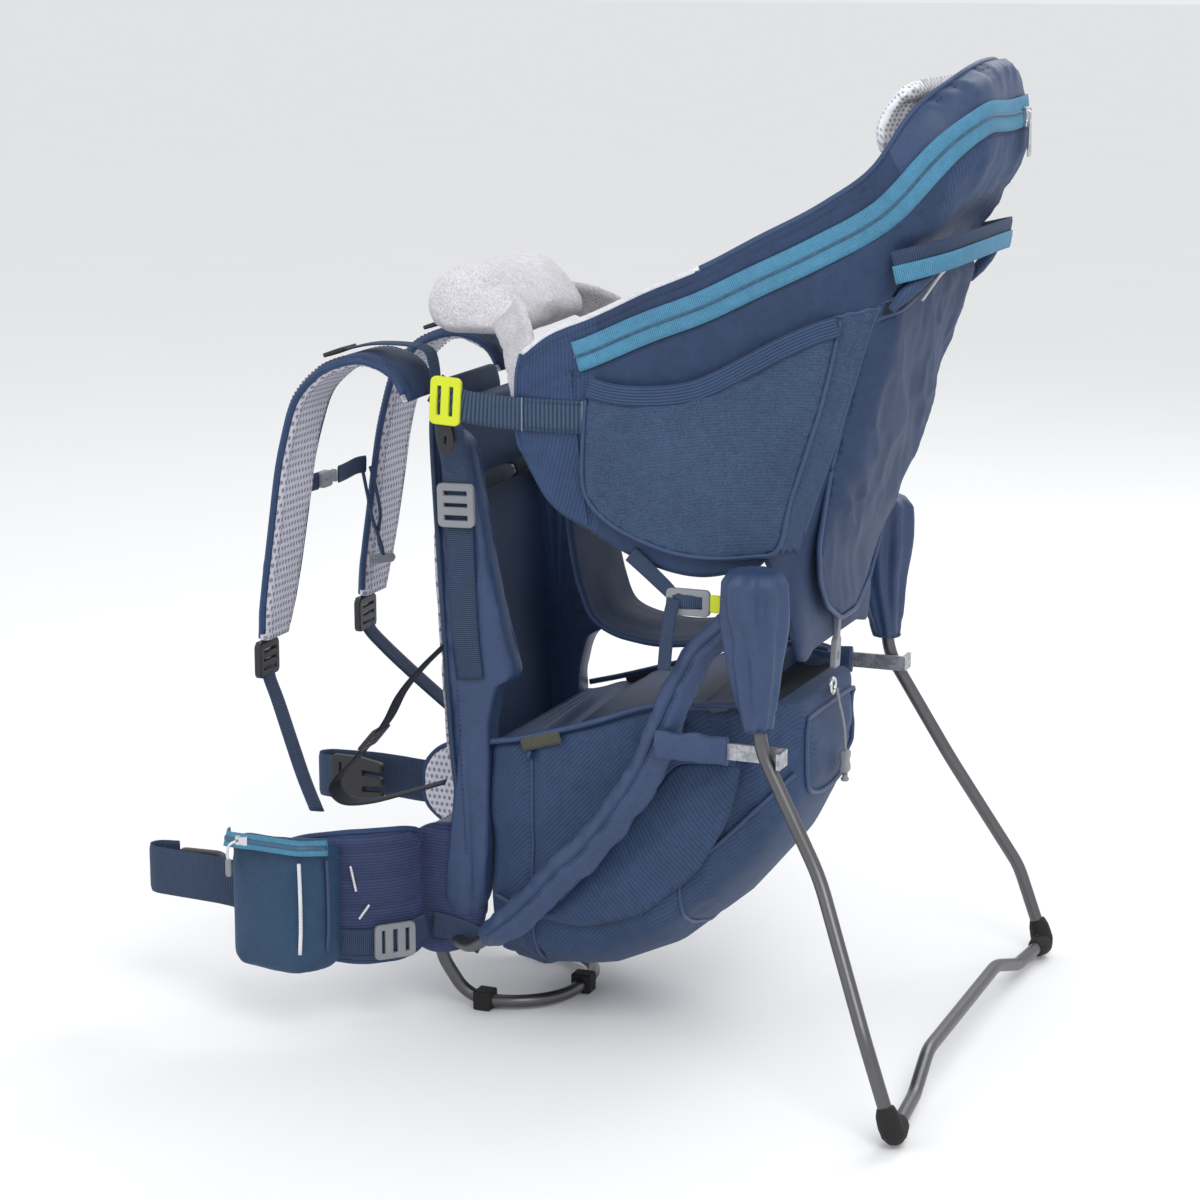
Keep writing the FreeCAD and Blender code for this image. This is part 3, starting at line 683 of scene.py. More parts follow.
def cloth(name, col, col2=None, kind="weave", pitch=1.2, aspect=1.0, rough=0.78, sheen=0.35, tint=(0.35, 0.45, 0.7), bump=0.35,
          depth=0.0005, fleck=0.35, blotch=0.25, hollow_shade=0.35, spec=0.35):
    m = bpy.data.materials.new(name)
    m.use_nodes = True
    nt = m.node_tree
    b = nt.nodes["Principled BSDF"]
    tc = nt.nodes.new("ShaderNodeTexCoord").outputs["Object"]
    h = pattern(nt, kind, pitch, aspect)
    broad = noise(nt, tc, 16.0, 4.0)
    thread = noise(nt, tc, 700.0, 2.0)
    mid = noise(nt, tc, 120.0, 3.0)
    if max(col) < 0.25:
        col = tuple(c * TONE for c in col)
        col2 = tuple(c * TONE for c in col2) if col2 else None
    # colour runs from a darker to a lighter tone of the cloth: where the structure height is low (thread valleys, mesh
    # holes) it is darker, which is painted shade in the hollows; the broad, thread and mid noises add real random tone
    lo = tuple(c * 0.55 for c in col)
    hi = col2 or tuple(min(1.0, c * 1.45 + 0.004) for c in col)
    f = mt(nt, "ADD", mt(nt, "MULTIPLY", h, hollow_shade), mt(nt, "MULTIPLY", broad, blotch))
    f = mt(nt, "ADD", f, mt(nt, "MULTIPLY", thread, fleck))
    f = mt(nt, "ADD", f, mt(nt, "MULTIPLY", mid, 0.25))
    tot = hollow_shade + blotch + fleck + 0.25
    f = ramp(nt, f, tot * 0.22, tot * 0.78)
    c = mixc(nt, f, lo, hi)
    geo = nt.nodes.new("ShaderNodeNewGeometry")
    worn = ramp(nt, geo.outputs["Pointiness"], 0.53, 0.60)
    c = mixc(nt, mt(nt, "MULTIPLY", worn, 0.14), c, tuple(min(1.0, x * 1.6 + 0.006) for x in col))
    nt.links.new(c, b.inputs["Base Color"])
    r = mt(nt, "MULTIPLY_ADD", thread, 0.16, rough - 0.08)
    nt.links.new(r, b.inputs["Roughness"])
    b.inputs["Sheen Weight"].default_value = sheen * SHEEN
    b.inputs["Sheen Roughness"].default_value = 0.4
    b.inputs["Sheen Tint"].default_value = (tint[0], tint[1], tint[2], 1)
    b.inputs["Specular IOR Level"].default_value = spec
    hh = mt(nt, "ADD", h, mt(nt, "MULTIPLY", thread, 0.6))
    hh = mt(nt, "ADD", hh, mt(nt, "MULTIPLY", mid, 1.2))
    bp_ = nd(nt, "ShaderNodeBump", Strength=bump, Distance=depth)
    nt.links.new(hh, bp_.inputs["Height"])
    nt.links.new(bp_.outputs[0], b.inputs["Normal"])
    return m


def hard(name, col, rough=0.4, metal=0.0, grain=600.0, bump=0.12, spec=0.5, wear=0.35, brushed=False, coat=0.0, var=0.2):
    m = bpy.data.materials.new(name)
    m.use_nodes = True
    nt = m.node_tree
    b = nt.nodes["Principled BSDF"]
    tc = nt.nodes.new("ShaderNodeTexCoord").outputs["Object"]
    g = noise(nt, tc, grain, 3.0)
    w = noise(nt, tc, 35.0, 4.0)
    sc_ = noise(nt, tc, 180.0, 5.0, 0.7)
    if brushed:
        mp = nd(nt, "ShaderNodeMapping")
        mp.inputs["Scale"].default_value = (900.0, 900.0, 25.0)
        nt.links.new(tc, mp.inputs["Vector"])
        g = noise(nt, mp.outputs[0], 1.0, 2.0)
    c = mixc(nt, w, tuple(x * (1 - var) for x in col), tuple(min(1, x * (1 + var)) for x in col))
    geo = nt.nodes.new("ShaderNodeNewGeometry")
    worn = mt(nt, "MULTIPLY", ramp(nt, geo.outputs["Pointiness"], 0.54, 0.64), ramp(nt, sc_, 0.4, 0.62))
    c = mixc(nt, mt(nt, "MULTIPLY", worn, wear), c, tuple(min(1.0, x * 2.2 + 0.08) for x in col))
    nt.links.new(c, b.inputs["Base Color"])
    b.inputs["Metallic"].default_value = metal
    b.inputs["Specular IOR Level"].default_value = spec
    b.inputs["Coat Weight"].default_value = coat
    r = mt(nt, "ADD", mt(nt, "MULTIPLY_ADD", g, 0.12, rough - 0.06), mt(nt, "MULTIPLY", w, 0.08))
    nt.links.new(r, b.inputs["Roughness"])
    bp_ = nd(nt, "ShaderNodeBump", Strength=bump, Distance=0.0003)
    nt.links.new(g, bp_.inputs["Height"])
    nt.links.new(bp_.outputs[0], b.inputs["Normal"])
    return m


NAVY = (0.020, 0.048, 0.125)
navy = cloth("navy_ripstop", NAVY, kind="weave", pitch=1.0, rough=0.62, sheen=0.45, bump=0.3)
navy_rib = cloth("navy_ribbed", (0.024, 0.056, 0.142), kind="ribs", pitch=3.2, rough=0.66, sheen=0.4, bump=0.35, depth=0.0006, hollow_shade=0.22)
navy_satin = cloth("navy_satin", (0.026, 0.060, 0.158), kind="weave", pitch=0.9, rough=0.46, sheen=0.5, bump=0.22, spec=0.5)
navy_diag = cloth("navy_diagonal", (0.024, 0.055, 0.135), kind="diag", pitch=3.6, rough=0.62, sheen=0.35, bump=0.3, depth=0.0006, hollow_shade=0.2)
# very dark navy, painted shade: used for the cockpit's inside faces, the dip in the bag top, the rear pocket slot and
# the crossbar covers
navy_shade = cloth("navy_painted_shade", (0.010, 0.016, 0.034), kind="cross", pitch=3.0, rough=0.85, sheen=0.2, bump=0.4)
violet = cloth("violet_navy", (0.030, 0.045, 0.125), kind="cross", pitch=2.6, rough=0.7, sheen=0.45, tint=(0.45, 0.45, 0.75))
teal = cloth("teal_navy", (0.018, 0.062, 0.135), kind="weave", pitch=1.1, rough=0.58, sheen=0.4)
stretch = cloth("stretch_knit", (0.036, 0.074, 0.170), (0.085, 0.145, 0.270), kind="cross", pitch=1.9, aspect=0.6, rough=0.85, sheen=0.5,
                bump=0.7, depth=0.0007, fleck=0.85, hollow_shade=0.25)
hem_mat = cloth("elastic_hem", (0.030, 0.062, 0.140), kind="ribs", pitch=2.4, rough=0.8, sheen=0.3, bump=0.6, depth=0.0006, hollow_shade=0.6)
light = cloth("light_blue_tape", (0.052, 0.185, 0.300), kind="cross", pitch=1.6, rough=0.7, sheen=0.3, tint=(0.6, 0.8, 1.0), bump=0.5)
coil = hard("zip_coil", (0.03, 0.09, 0.16), rough=0.45, bump=0.4)
white = cloth("white_piping", (0.62, 0.64, 0.70), (0.80, 0.81, 0.86), kind="cross", pitch=1.5, rough=0.75, sheen=0.2, tint=(1, 1, 1), bump=0.4)
thread_m = cloth("thread", (0.055, 0.075, 0.135), kind="cross", pitch=0.8, rough=0.7, sheen=0.2)
thread_l = cloth("thread_light", (0.30, 0.33, 0.42), kind="cross", pitch=0.8, rough=0.7, sheen=0.2)
# the two mesh cloths: their holes are painted darker, painted shade inside the holes
mesh_m = cloth("spacer_mesh", (0.47, 0.46, 0.54), (0.60, 0.59, 0.68), kind="mesh", pitch=5.2, aspect=1.25, rough=0.85, sheen=0.4,
               tint=(0.8, 0.8, 0.95), bump=0.8, depth=0.0014, hollow_shade=1.6, fleck=0.3, blotch=0.1)
pale_mesh = cloth("pale_mesh", (0.62, 0.62, 0.68), (0.80, 0.80, 0.86), kind="mesh", pitch=3.6, aspect=1.1, rough=0.85, sheen=0.4,
                  tint=(0.9, 0.9, 1), bump=0.5, depth=0.0008, hollow_shade=0.5, fleck=0.3, blotch=0.1)
fleece = cloth("fleece", (0.68, 0.66, 0.71), (0.85, 0.83, 0.87), kind="weave", pitch=2.3, rough=0.95, sheen=0.9, tint=(0.9, 0.9, 1.0),
               bump=0.9, depth=0.0012, fleck=0.9, hollow_shade=0.15)
web = cloth("webbing", (0.024, 0.049, 0.105), (0.045, 0.080, 0.160), kind="cross", pitch=1.7, rough=0.7, sheen=0.25, bump=0.7, depth=0.0006, hollow_shade=0.6)
web_rib = cloth("ribbed_webbing", (0.028, 0.060, 0.125), (0.060, 0.110, 0.200), kind="cross", pitch=3.6, rough=0.7, sheen=0.3, bump=0.9,
                depth=0.0012, hollow_shade=0.8)
web_dark = cloth("dark_webbing", (0.011, 0.014, 0.024), kind="cross", pitch=1.7, rough=0.75, sheen=0.25, bump=0.6)
pile = cloth("pile_strip", (0.012, 0.016, 0.030), kind="weave", pitch=2.0, rough=0.95, sheen=0.8, bump=1.0, depth=0.0015, fleck=0.9)
olive = cloth("olive_elastic", (0.07, 0.075, 0.055), kind="cross", pitch=1.4, rough=0.75, sheen=0.3)
cord_m = cloth("cord_braid", (0.34, 0.35, 0.38), (0.55, 0.56, 0.60), kind="diag", pitch=1.6, rough=0.7, sheen=0.3, tint=(1, 1, 1), bump=0.6)
grey = hard("grey_plastic", (0.213, 0.225, 0.245), rough=0.42, grain=900, bump=0.18)
black = hard("black_plastic", (0.012, 0.012, 0.014), rough=0.42, grain=900, bump=0.2)
green = hard("green_plastic", (0.58, 0.65, 0.012), rough=0.38, grain=900, bump=0.12, wear=0.15, var=0.08)
tube_m = hard("satin_tube", (0.13, 0.13, 0.136), rough=0.34, metal=0.9, grain=1, bump=0.05, brushed=True, wear=0.5, var=0.1)
fit_m = hard("grey_fitting", (0.27, 0.28, 0.30), rough=0.38, metal=0.75, grain=700, bump=0.1, wear=0.5, var=0.12)
bright = hard("bright_metal", (0.62, 0.63, 0.66), rough=0.2, metal=1.0, grain=500, bump=0.04, wear=0.3, var=0.08)
rubber = hard("black_rubber", (0.013, 0.013, 0.014), rough=0.72, grain=500, bump=0.5, spec=0.35, wear=0.3)

for k, m in (("frame_tube", tube_m), ("frame_crossbar", tube_m), ("side_strut_left", tube_m), ("side_strut_right", tube_m),
             ("kickstand_tube", tube_m), ("hinge_bracket_left", fit_m), ("hinge_bracket_right", fit_m), ("stop_bars", fit_m),
             ("kickstand_eyes", fit_m), ("hinge_pins", bright), ("bag_eyelet", bright), ("foot_pads", rubber),
             ):
    ob = bpy.data.objects[k]
    for s in ob.material_slots:
        s.material = m
    if not ob.material_slots:
        ob.data.materials.append(m)


def put(ob, body, nodes=()):
    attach(ob, body)
    if nodes:
        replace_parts(ob, *nodes)
    return ob


def project_uv(ob, ua, va):
    me = ob.data
    lay = me.uv_layers.get("cut") or me.uv_layers.new(name="cut")
    co = np.empty(len(me.vertices) * 3)
    me.vertices.foreach_get("co", co)
    co = co.reshape(-1, 3)
    idx = np.empty(len(me.loops), np.int32)
    me.loops.foreach_get("vertex_index", idx)
    uv = np.stack([co @ np.asarray(ua, float), co @ np.asarray(va, float)], 1)[idx]
    lay.data.foreach_set("uv", uv.astype(np.float32).ravel())


def subdiv(ob, n=1):
    m = ob.modifiers.new("s", "SUBSURF")
    m.levels = n
    m.render_levels = n
    return ob


def nudge(ob, fn):
    """move verts along their normals by fn(points in drawing mm)"""
    me = ob.data
    co = np.empty(len(me.vertices) * 3)
    me.vertices.foreach_get("co", co)
    co = co.reshape(-1, 3)
    no = np.array([v.normal[:] for v in me.vertices])
    p = co * 1000.0
    p[:, 0] += X0
    co = co + no * (fn(p, no)[:, None] / 1000.0)
    me.vertices.foreach_set("co", co.ravel())
    me.update()
    return ob


def pillow(name, outline, a0, a1, end, mats, axis=1, n=34, m=44, corner=6.0, taper=0.6):
    """closed form: the outline (two other axes) carried along one axis with rounded ends"""
    o = resample(np.vstack([round_corners(np.asarray(outline, float), corner)] * 1 + [round_corners(np.asarray(outline, float), corner)[:1]]),
                 n=m, closed=True)
    c = o.mean(0)
    rings = []
    for k in range(n):
        t = k / (n - 1)
        s = a0 + (a1 - a0) * (0.5 - 0.5 * math.cos(math.pi * t))
        d = min(s - a0, a1 - s)
        f = 1.0 if d >= end else (taper + (1 - taper) * math.sqrt(max(0.0, 1 - (1 - d / end) ** 2)))
        q = c + (o - c) * f
        if axis == 1:
            rings.append(np.stack([q[:, 0], np.full(m, s), q[:, 1]], 1))
        else:
            rings.append(np.stack([q[:, 0], q[:, 1], np.full(m, s)], 1))
    return loft(name, np.array(rings), mats)


def surf_path(path, flip=1.0):
    """u = y, v = length along an XZ path"""
    C = crom(np.asarray(path, float), step=2.0)
    d = np.r_[0, np.cumsum(np.linalg.norm(np.diff(C, axis=0), axis=1))]
    T = unit(np.gradient(C, axis=0))

    def f(u, v):
        x = np.interp(v, d, C[:, 0])
        z = np.interp(v, d, C[:, 1])
        tx = np.interp(v, d, T[:, 0])
        tz = np.interp(v, d, T[:, 1])
        return np.stack([x, u, z], 1), unit(np.stack([tz * flip, 0 * u, -tx * flip], 1))
    f.length = d[-1]
    return f


def surf_plan(path, s, flip=1.0):
    """u = length along an XY path, v = z"""
    C = crom(np.asarray(path, float), step=2.0)
    d = np.r_[0, np.cumsum(np.linalg.norm(np.diff(C, axis=0), axis=1))]
    T = unit(np.gradient(C, axis=0))

    def f(u, v):
        x = np.interp(u, d, C[:, 0])
        y = np.interp(u, d, C[:, 1])
        tx = np.interp(u, d, T[:, 0])
        ty = np.interp(u, d, T[:, 1])
        return np.stack([x, s * y, v], 1), unit(np.stack([-ty * flip, s * tx * flip, 0 * u], 1))
    f.length = d[-1]
    return f


def surf_x(plan, s, off=0.0):
    """u = x, v = z on a wall whose |y| is a function of x, normal outwards"""
    C = crom(np.asarray(plan, float), step=2.0)

    def f(u, v):
        y = np.interp(u, C[:, 0], C[:, 1])
        g = (np.interp(u + 2, C[:, 0], C[:, 1]) - np.interp(u - 2, C[:, 0], C[:, 1])) / 4.0
        N = unit(np.stack([-g, s * np.ones_like(u), 0 * u], 1))
        return np.stack([u, s * y, v], 1) + N * off, N
    return f


def surf_y(y, s):
    def f(u, v):
        return np.stack([u, np.full_like(u, y), v], 1), np.stack([0 * u, s * np.ones_like(u), 0 * u], 1)
    return f


# ================================================================== cockpit: one continuous shell
PLAN = [(60, 149), (200, 146), (262, 136), (310, 119), (340, 108), (382, 103)]
stn = [
    [(74, 149, 576), (71, 149.5, 563), (70, 149.5, 545), (70, 149.5, 525), (71, 149, 510), (74, 149, 499)],
    [(95, 148.5, 592), (95, 151, 560), (95, 151, 525), (95, 148, 463)],
    [(130, 147.5, 607), (130, 151, 570), (130, 151, 520), (130, 147, 441)],
    [(178, 146, 630), (178, 150, 580), (179, 150, 510), (180, 145, 417)],
    [(222, 143.5, 649), (222, 147, 590), (222, 146, 510), (222, 142, 410)],
    [(262, 136, 671), (262, 139, 600), (262, 138, 520), (262, 135, 419)],
    [(310, 120, 698), (310, 122, 640), (303, 124, 580), (289, 129, 500), (272, 132, 421)],
    [(345, 110, 725), (353, 109.5, 692), (350, 107, 640), (337, 107, 600), (316, 109, 526), (284, 112, 425), (279, 107, 378)],
    [(369, 101, 763), (392, 104, 738), (384, 98, 692), (370, 93, 662), (352, 92, 622), (333, 92, 566), (323, 93, 526), (289, 94, 420),
     (285, 94, 360), (285, 92, 338)],
    [(393, 60, 790), (409, 64, 781), (415.5, 66, 760), (413, 64, 730), (395, 59, 697), (376, 56, 671), (358, 56, 640), (344, 56, 600), (322, 56, 526),
     (288, 56, 420), (285, 56, 360), (285, 56, 338)],
    [(403, 0, 801), (411, 0, 794), (416.5, 0, 775), (418, 0, 747), (409, 0, 713), (391, 0, 690), (376, 0, 671), (358, 0, 640), (344, 0, 600),
     (322, 0, 526), (288, 0, 420), (285, 0, 360), (285, 0, 338)],
]
NR = 96
cols = [crom(s, n=NR) for s in stn]
half_near = [c * (1, -1, 1) for c in cols]
allc = half_near + [c for c in cols[-2::-1]]
ctrl = np.array(allc)                                   # (stations, NR, 3)
rim_len = np.r_[0, np.cumsum(np.linalg.norm(np.diff(ctrl[:, 0], axis=0), axis=1) + np.linalg.norm(np.diff(ctrl[:, NR // 2], axis=0), axis=1)) / 2]
NC = 210
par = np.linspace(0, rim_len[-1], NC)


def spline_cols(ctrl, rim_len, par):
    out = np.zeros((NR, len(par), 3))
    t = rim_len
    for k in range(3):
        Y = ctrl[:, :, k]
        m = np.gradient(Y, t, axis=0)
        i = np.clip(np.searchsorted(t, par, "right") - 1, 0, len(t) - 2)
        h = (t[i + 1] - t[i])[:, None]
        s = ((par - t[i]) / (t[i + 1] - t[i]))[:, None]
        out[:, :, k] = ((2 * s ** 3 - 3 * s ** 2 + 1) * Y[i] + (s ** 3 - 2 * s ** 2 + s) * h * m[i]
                        + (-2 * s ** 3 + 3 * s ** 2) * Y[i + 1] + (s ** 3 - s ** 2) * h * m[i + 1]).T
    return out


G = spline_cols(ctrl, rim_len, par)                     # (NR, NC, 3) rim first
CL = np.zeros((NR, NC))
CL[1:] = np.cumsum(np.linalg.norm(np.diff(G, axis=0), axis=2), 0)   # distance below the rim
NG = grid_normals(G)
if (NG[10, 40] @ np.array([0, -1, 0])) < 0:
    NG = -NG
    flipG = True
else:
    flipG = False


def on(c, dist, off=0.0):
    """point on the cockpit wall: column number c (float), distance below the rim"""
    c = min(max(c, 0), NC - 1.001)
    j = int(c)
    f = c - j
    r = []
    for jj in (j, j + 1):
        p = np.array([np.interp(dist, CL[:, jj], G[:, jj, k]) for k in range(3)])
        n = np.array([np.interp(dist, CL[:, jj], NG[:, jj, k]) for k in range(3)])
        r.append((p, n))
    p = r[0][0] * (1 - f) + r[1][0] * f
    n = unit(r[0][1] * (1 - f) + r[1][1] * f)
    return p + n * off, n


def down(c, dist):
    return unit(on(c, dist + 3)[0] - on(c, max(0, dist - 3))[0])


def col_at(x, side=-1):
    """column whose rim point is at x (before the middle for the near side)"""
    h = NC // 2
    xs = G[0, :h, 0]
    j = float(np.interp(x, xs, np.arange(h)))
    return j if side < 0 else NC - 1 - j


Pg = G.reshape(-1, 3)
hump = np.clip((G[..., 0] - 300) / 80.0, 0, 1)
absy = np.abs(G[..., 1])
zip_d = np.interp(G[0, :, 0], [70, 132, 238, 337, 395, 440], [24, 27, 30, 34, 41, 46])
fo = folds(Pg, (0.35, 0.1, -1.0), 34, 4.0, 3).reshape(NR, NC) * 1.6
f2 = folds(Pg, (1.0, 0.3, 0.25), 16, 5.0, 8).reshape(NR, NC)
f3 = folds(Pg, (0.2, 1.0, 0.0), 13, 6.0, 12).reshape(NR, NC)
f4 = soft(Pg, 60, 4).reshape(NR, NC) * 2.2
disp = fo * (0.6 + 0.9 * hump) + f4 * np.clip(CL / 60, 0, 1) * 0.8 + f2 * (0.5 + 0.8 * hump * (CL > 30))
disp = disp + f3 * 1.6 * hump * bump(CL, 70, 26) + f3 * 1.1 * hump * np.clip((CL - 40) / 60, 0, 1)
arc = np.cumsum(np.r_[0, np.linalg.norm(np.diff(G[0], axis=0), axis=1)])
ruff = (np.sin(arc / 6.2 * 2 * np.pi / 1.0 + 2.2 * vnoise(np.stack([arc / 22, arc * 0, arc * 0], 1), 2)) * 0.5
        + vnoise(np.stack([arc / 5.0, arc * 0 + 3, arc * 0], 1), 6) * 0.7)
disp = disp + ruff[None, :] * 2.6 * hump * np.exp(-((CL - 8) / 9.0) ** 2)
disp = disp + 2.5 * bump(CL, 14, 9) * hump
disp = disp * (1 - 0.93 * np.clip(bump(CL, zip_d[None, :], 15) * 1.25, 0, 1))
disp = disp * np.clip(CL / 5.0, 0, 1) * np.clip((CL[-1][None, :] - CL) / 10.0, 0.1, 1)
disp = disp - 1.0 * bump(CL, zip_d[None, :] - 12, 2.0) - 1.0 * bump(CL, zip_d[None, :] + 12, 2.0)
sgn = -1.0 if flipG else 1.0
disp_in = folds(Pg, (0.1, 0.2, -1.0), 30, 5.0, 21).reshape(NR, NC) * 2.2


def zone(i, j):
    x = G[i, j, 0]
    if CL[i, j] < 46 and G[0, j, 2] > 735:
        return 2
    if x < 135 or (G[0, j, 2] > 770 and CL[i, j] < 100):
        return 1
    return 0


def two_sided(name, G, NG, out, inn, disp, disp_in, mats, face_fn, in_mat):
    R, C = G.shape[:2]
    a = G + NG * (out + disp)[..., None]
    b = G - NG * (inn + disp_in)[..., None]
    u = grid_uv(G)
    f, fm = [], []
    o = R * C
    for i in range(R - 1):
        for j in range(C - 1):
            q = (i * C + j, i * C + j + 1, (i + 1) * C + j + 1, (i + 1) * C + j)
            f.append(q)
            fm.append(face_fn(i, j))
            f.append(tuple(o + k for k in q[::-1]))
            fm.append(in_mat)
    ring = ([(0, j) for j in range(C)] + [(i, C - 1) for i in range(1, R)] + [(R - 1, j) for j in range(C - 2, -1, -1)]
            + [(i, 0) for i in range(R - 2, 0, -1)])
    ids = [i * C + j for i, j in ring]
    for k in range(len(ids)):
        p, q = ids[k], ids[(k + 1) % len(ids)]
        f.append((q, p, o + p, o + q))
        fm.append(0)
    return fix_normals(make(name, np.vstack([a.reshape(-1, 3), b.reshape(-1, 3)]), f, mats, uv=np.vstack([u, u]), face_mat=fm))


# the inside faces take the very dark navy, painted shade inside the cockpit
cock = two_sided("cockpit_shell", G, NG, np.full((NR, NC), 2.4), np.full((NR, NC), 2.4), disp, disp_in * np.clip(CL / 12, 0, 1),
                 [navy, navy_rib, navy_satin, navy_shade], zone, 3)
put(cock, "pack", ("side_panel_left", "side_panel_right", "rear_shell", "headrest"))
rimp = G[0] + NG[0] * 0.8
edge_path = np.vstack([G[::-1, 0][::6][:16] * 1.0, rimp, G[:, -1][::6][:16]])
cw_ = int(col_at(224))
put(pipe("rim_piping_near", rimp[:cw_:2] + np.array([0, 0, 1.2]), 2.5, white, step=4), "pack")
put(pipe("rim_piping_far", rimp[NC - cw_::2] + np.array([0, 0, 1.2]), 2.5, white, step=4), "pack")
put(pipe("rim_binding", rimp[cw_ - 2:NC - cw_ + 2:2] + np.array([0, 0, 1.0]), 2.4, navy_satin, step=4), "pack")
put(pipe("wing_front_binding_left", [G[i, 0] + NG[i, 0] * 0.5 + np.array([-1.0, 0, 0]) for i in range(0, NR, 8)] + [G[-1, 0]], 2.4, navy_rib, step=4), "pack")
put(pipe("wing_front_binding_right", [G[i, -1] + NG[i, -1] * 0.5 + np.array([-1.0, 0, 0]) for i in range(0, NR, 8)] + [G[-1, -1]], 2.4, navy_rib, step=4), "pack")
put(pipe("wing_lower_binding_left", G[-1, 0:78:3], 2.2, web, step=4), "pack")
put(pipe("wing_lower_binding_right", G[-1, NC - 78:NC:3], 2.2, web, step=4), "pack")

# zipper tape all round under the rim: two pale bands and a dark coil
c0, c1 = col_at(120), col_at(120, 1)
cs = np.linspace(c0, c1, 70)
zp, zs = [], []
for c in cs:
    d = float(np.interp(on(c, 0)[0][0], [70, 132, 238, 337, 395, 405], [24, 27, 30, 34, 41, 46]))
    p, n = on(c, d, 3.6)
    zp.append(p)
    zs.append(down(c, d))
zp, zs = np.array(zp), np.array(zs)
zn = np.array([on(c, 30)[1] for c in cs])
put(ribbon("rim_zip_tape", zp, zs, 24, light, t=1.2, step=3, nw=6), "pack")
put(ribbon("rim_zip_coil_base", zp + zn * 0.8, zs, 2.4, coil, t=1.2, step=3, nw=4), "pack")
zc = crom(zp + zn * 1.5, step=2.2)
put(stitches("rim_zip_teeth", zc, coil, pitch=2.2, dash=1.4, r=0.8, smooth=False), "pack")
put(stitches("zip_stitch_lower", zp + zs * 15.0 - zn * 0.4, thread_m, pitch=4.2, dash=2.6), "pack")
put(stitches("rim_stitch", [on(c, 7, 3.2)[0] for c in np.linspace(1, NC - 2, 90)], thread_m, pitch=4.2, dash=2.6), "pack")

# headrest slider and pull
sx, sy, sz0 = 0, 0, 0
b0, b1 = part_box("rim_zip_slider")
sl = np.array([(b0[k] + b1[k]) / 2 * 1000 for k in range(3)]) + np.array([X0 + 3.4, 0, 0])
body_s = plate("rim_zip_slider_body", [(-5.5, -7), (-2.6, -3), (-2.6, 3), (-5.5, 7), (5.5, 7), (2.6, 3), (2.6, -3), (5.5, -7)], [], 3.6, bright, sl, (0, 1, 0), (0, 0, 1), 0.7, 1.2)
bridge = pipe("slider_bridge", sl + np.array([(1.6, 0, 5), (3.0, 0, 3), (3.0, 0, -3), (1.6, 0, -5)]), 0.9, bright, step=1)
put(join("rim_zip_slider_metal", [body_s, bridge]), "rim_zip", ("rim_zip_slider",))
b0, b1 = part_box("rim_zip_pull")
pl = np.array([(b0[k] + b1[k]) / 2 * 1000 for k in range(3)]) + np.array([X0 + 2.2, 0, 0])
put(plate("rim_zip_pull_tab", [(-3, -15), (3, -15), (4, -9), (3, 0), (2.2, 11.6), (-2.2, 11.6), (-3, 0), (-4, -9)],
          [[(-1.6, -12), (1.6, -12), (1.6, -5), (-1.6, -5)], [(-1.1, 6.5), (1.1, 6.5), (1.1, 9.5), (-1.1, 9.5)]], 1.8, bright, pl, (0, 1, 0), (0, 0, 1), 0.4, 1.6),
    "rim_pull", ("rim_zip_pull",))

# headrest pad inside
hp = pillow("headrest_inner_pad", [(336, 726), (333, 744), (341, 764), (355, 783), (367, 794), (371, 789), (363.5, 781), (348.5, 756), (341.5, 726)],
            -80, 80, 26, pale_mesh, n=26, m=40)
puff(hp, 0.006, 3.0, 0.004)
nudge(hp, lambda p, n: -1.6 * bump(np.mod(p[:, 1] + 200, 36) - 18, 0, 2.2))
project_uv(hp, (0.72, 0, 0.69), (0, 1, 0))
subdiv(hp)
put(hp, "pack", ("headrest_pad",))

# ------------------------------------------------------------------ wing panels and stretch pockets
PO = [(x, y + 5.6) for x, y in PLAN]
pock_out = [(132, 562), (150, 558), (175, 557), (205, 560), (228, 567), (258, 583), (282, 597), (305, 608), (324, 614), (318, 576), (310, 540),
            (300, 505), (290, 470), (282, 432), (262, 426), (230, 424), (200, 427), (166, 438), (142, 452), (128, 470), (126, 500), (128, 530)]
sp = surf_x(PO, -1.0, 2.2)


def pdisp(v2, P, d):
    w = folds(P, (0.7, 0.0, -0.75), 30, 4.0, 31) * 2.4 + folds(P, (0.1, 0, -1), 15, 5.0, 33) * 0.9
    return w + 5.0 * bump(v2[:, 0], 210, 60) * bump(v2[:, 1], 500, 45)


pk = panel("stretch_pocket_near", pock_out, sp, stretch, t=2.2, step=4.0, crown=3.5, crown_w=24, disp=pdisp, corner=4)
pk2 = mirror(pk, "stretch_pocket_far")
put(pk, "pack", ("stretch_pocket_left",))
put(pk2, "pack", ("stretch_pocket_right",))
spx = surf_x(PO, -1.0, 7.5)
hem = np.array([(133, 555), (152, 551), (175, 550), (205, 553), (228, 560), (257, 576), (281, 590), (304, 601), (321, 607)], float)
hp_, hn_ = spx(hem[:, 0], hem[:, 1])
r1 = ribbon("pocket_hem_near", hp_, (0, 0, 1), 16, hem_mat, t=2.2, step=3, crown=1.0)
r2 = mirror(r1, "pocket_hem_far")
put(r1, "pack", ())
put(r2, "pack", ())
seam = np.array([(323, 611), (317, 576), (309, 540), (299, 505), (289, 470), (281, 434), (262, 428), (230, 426), (200, 429), (166, 440), (142, 454), (129, 472), (127, 500), (130, 545)], float)
sp3 = surf_x(PO, -1.0, 3.4)
a_, _n = sp3(seam[:, 0], seam[:, 1])
r1 = pipe("pocket_piping_near", a_, 1.9, navy_satin, step=4)
put(r1, "pack")
put(mirror(r1, "pocket_piping_far"), "pack")
a_, _n = spx(seam[:, 0] * 1.0 + np.interp(seam[:, 0], [130, 320], [5, -5]), seam[:, 1] + 2)
ca, cb = col_at(316.5), col_at(350)
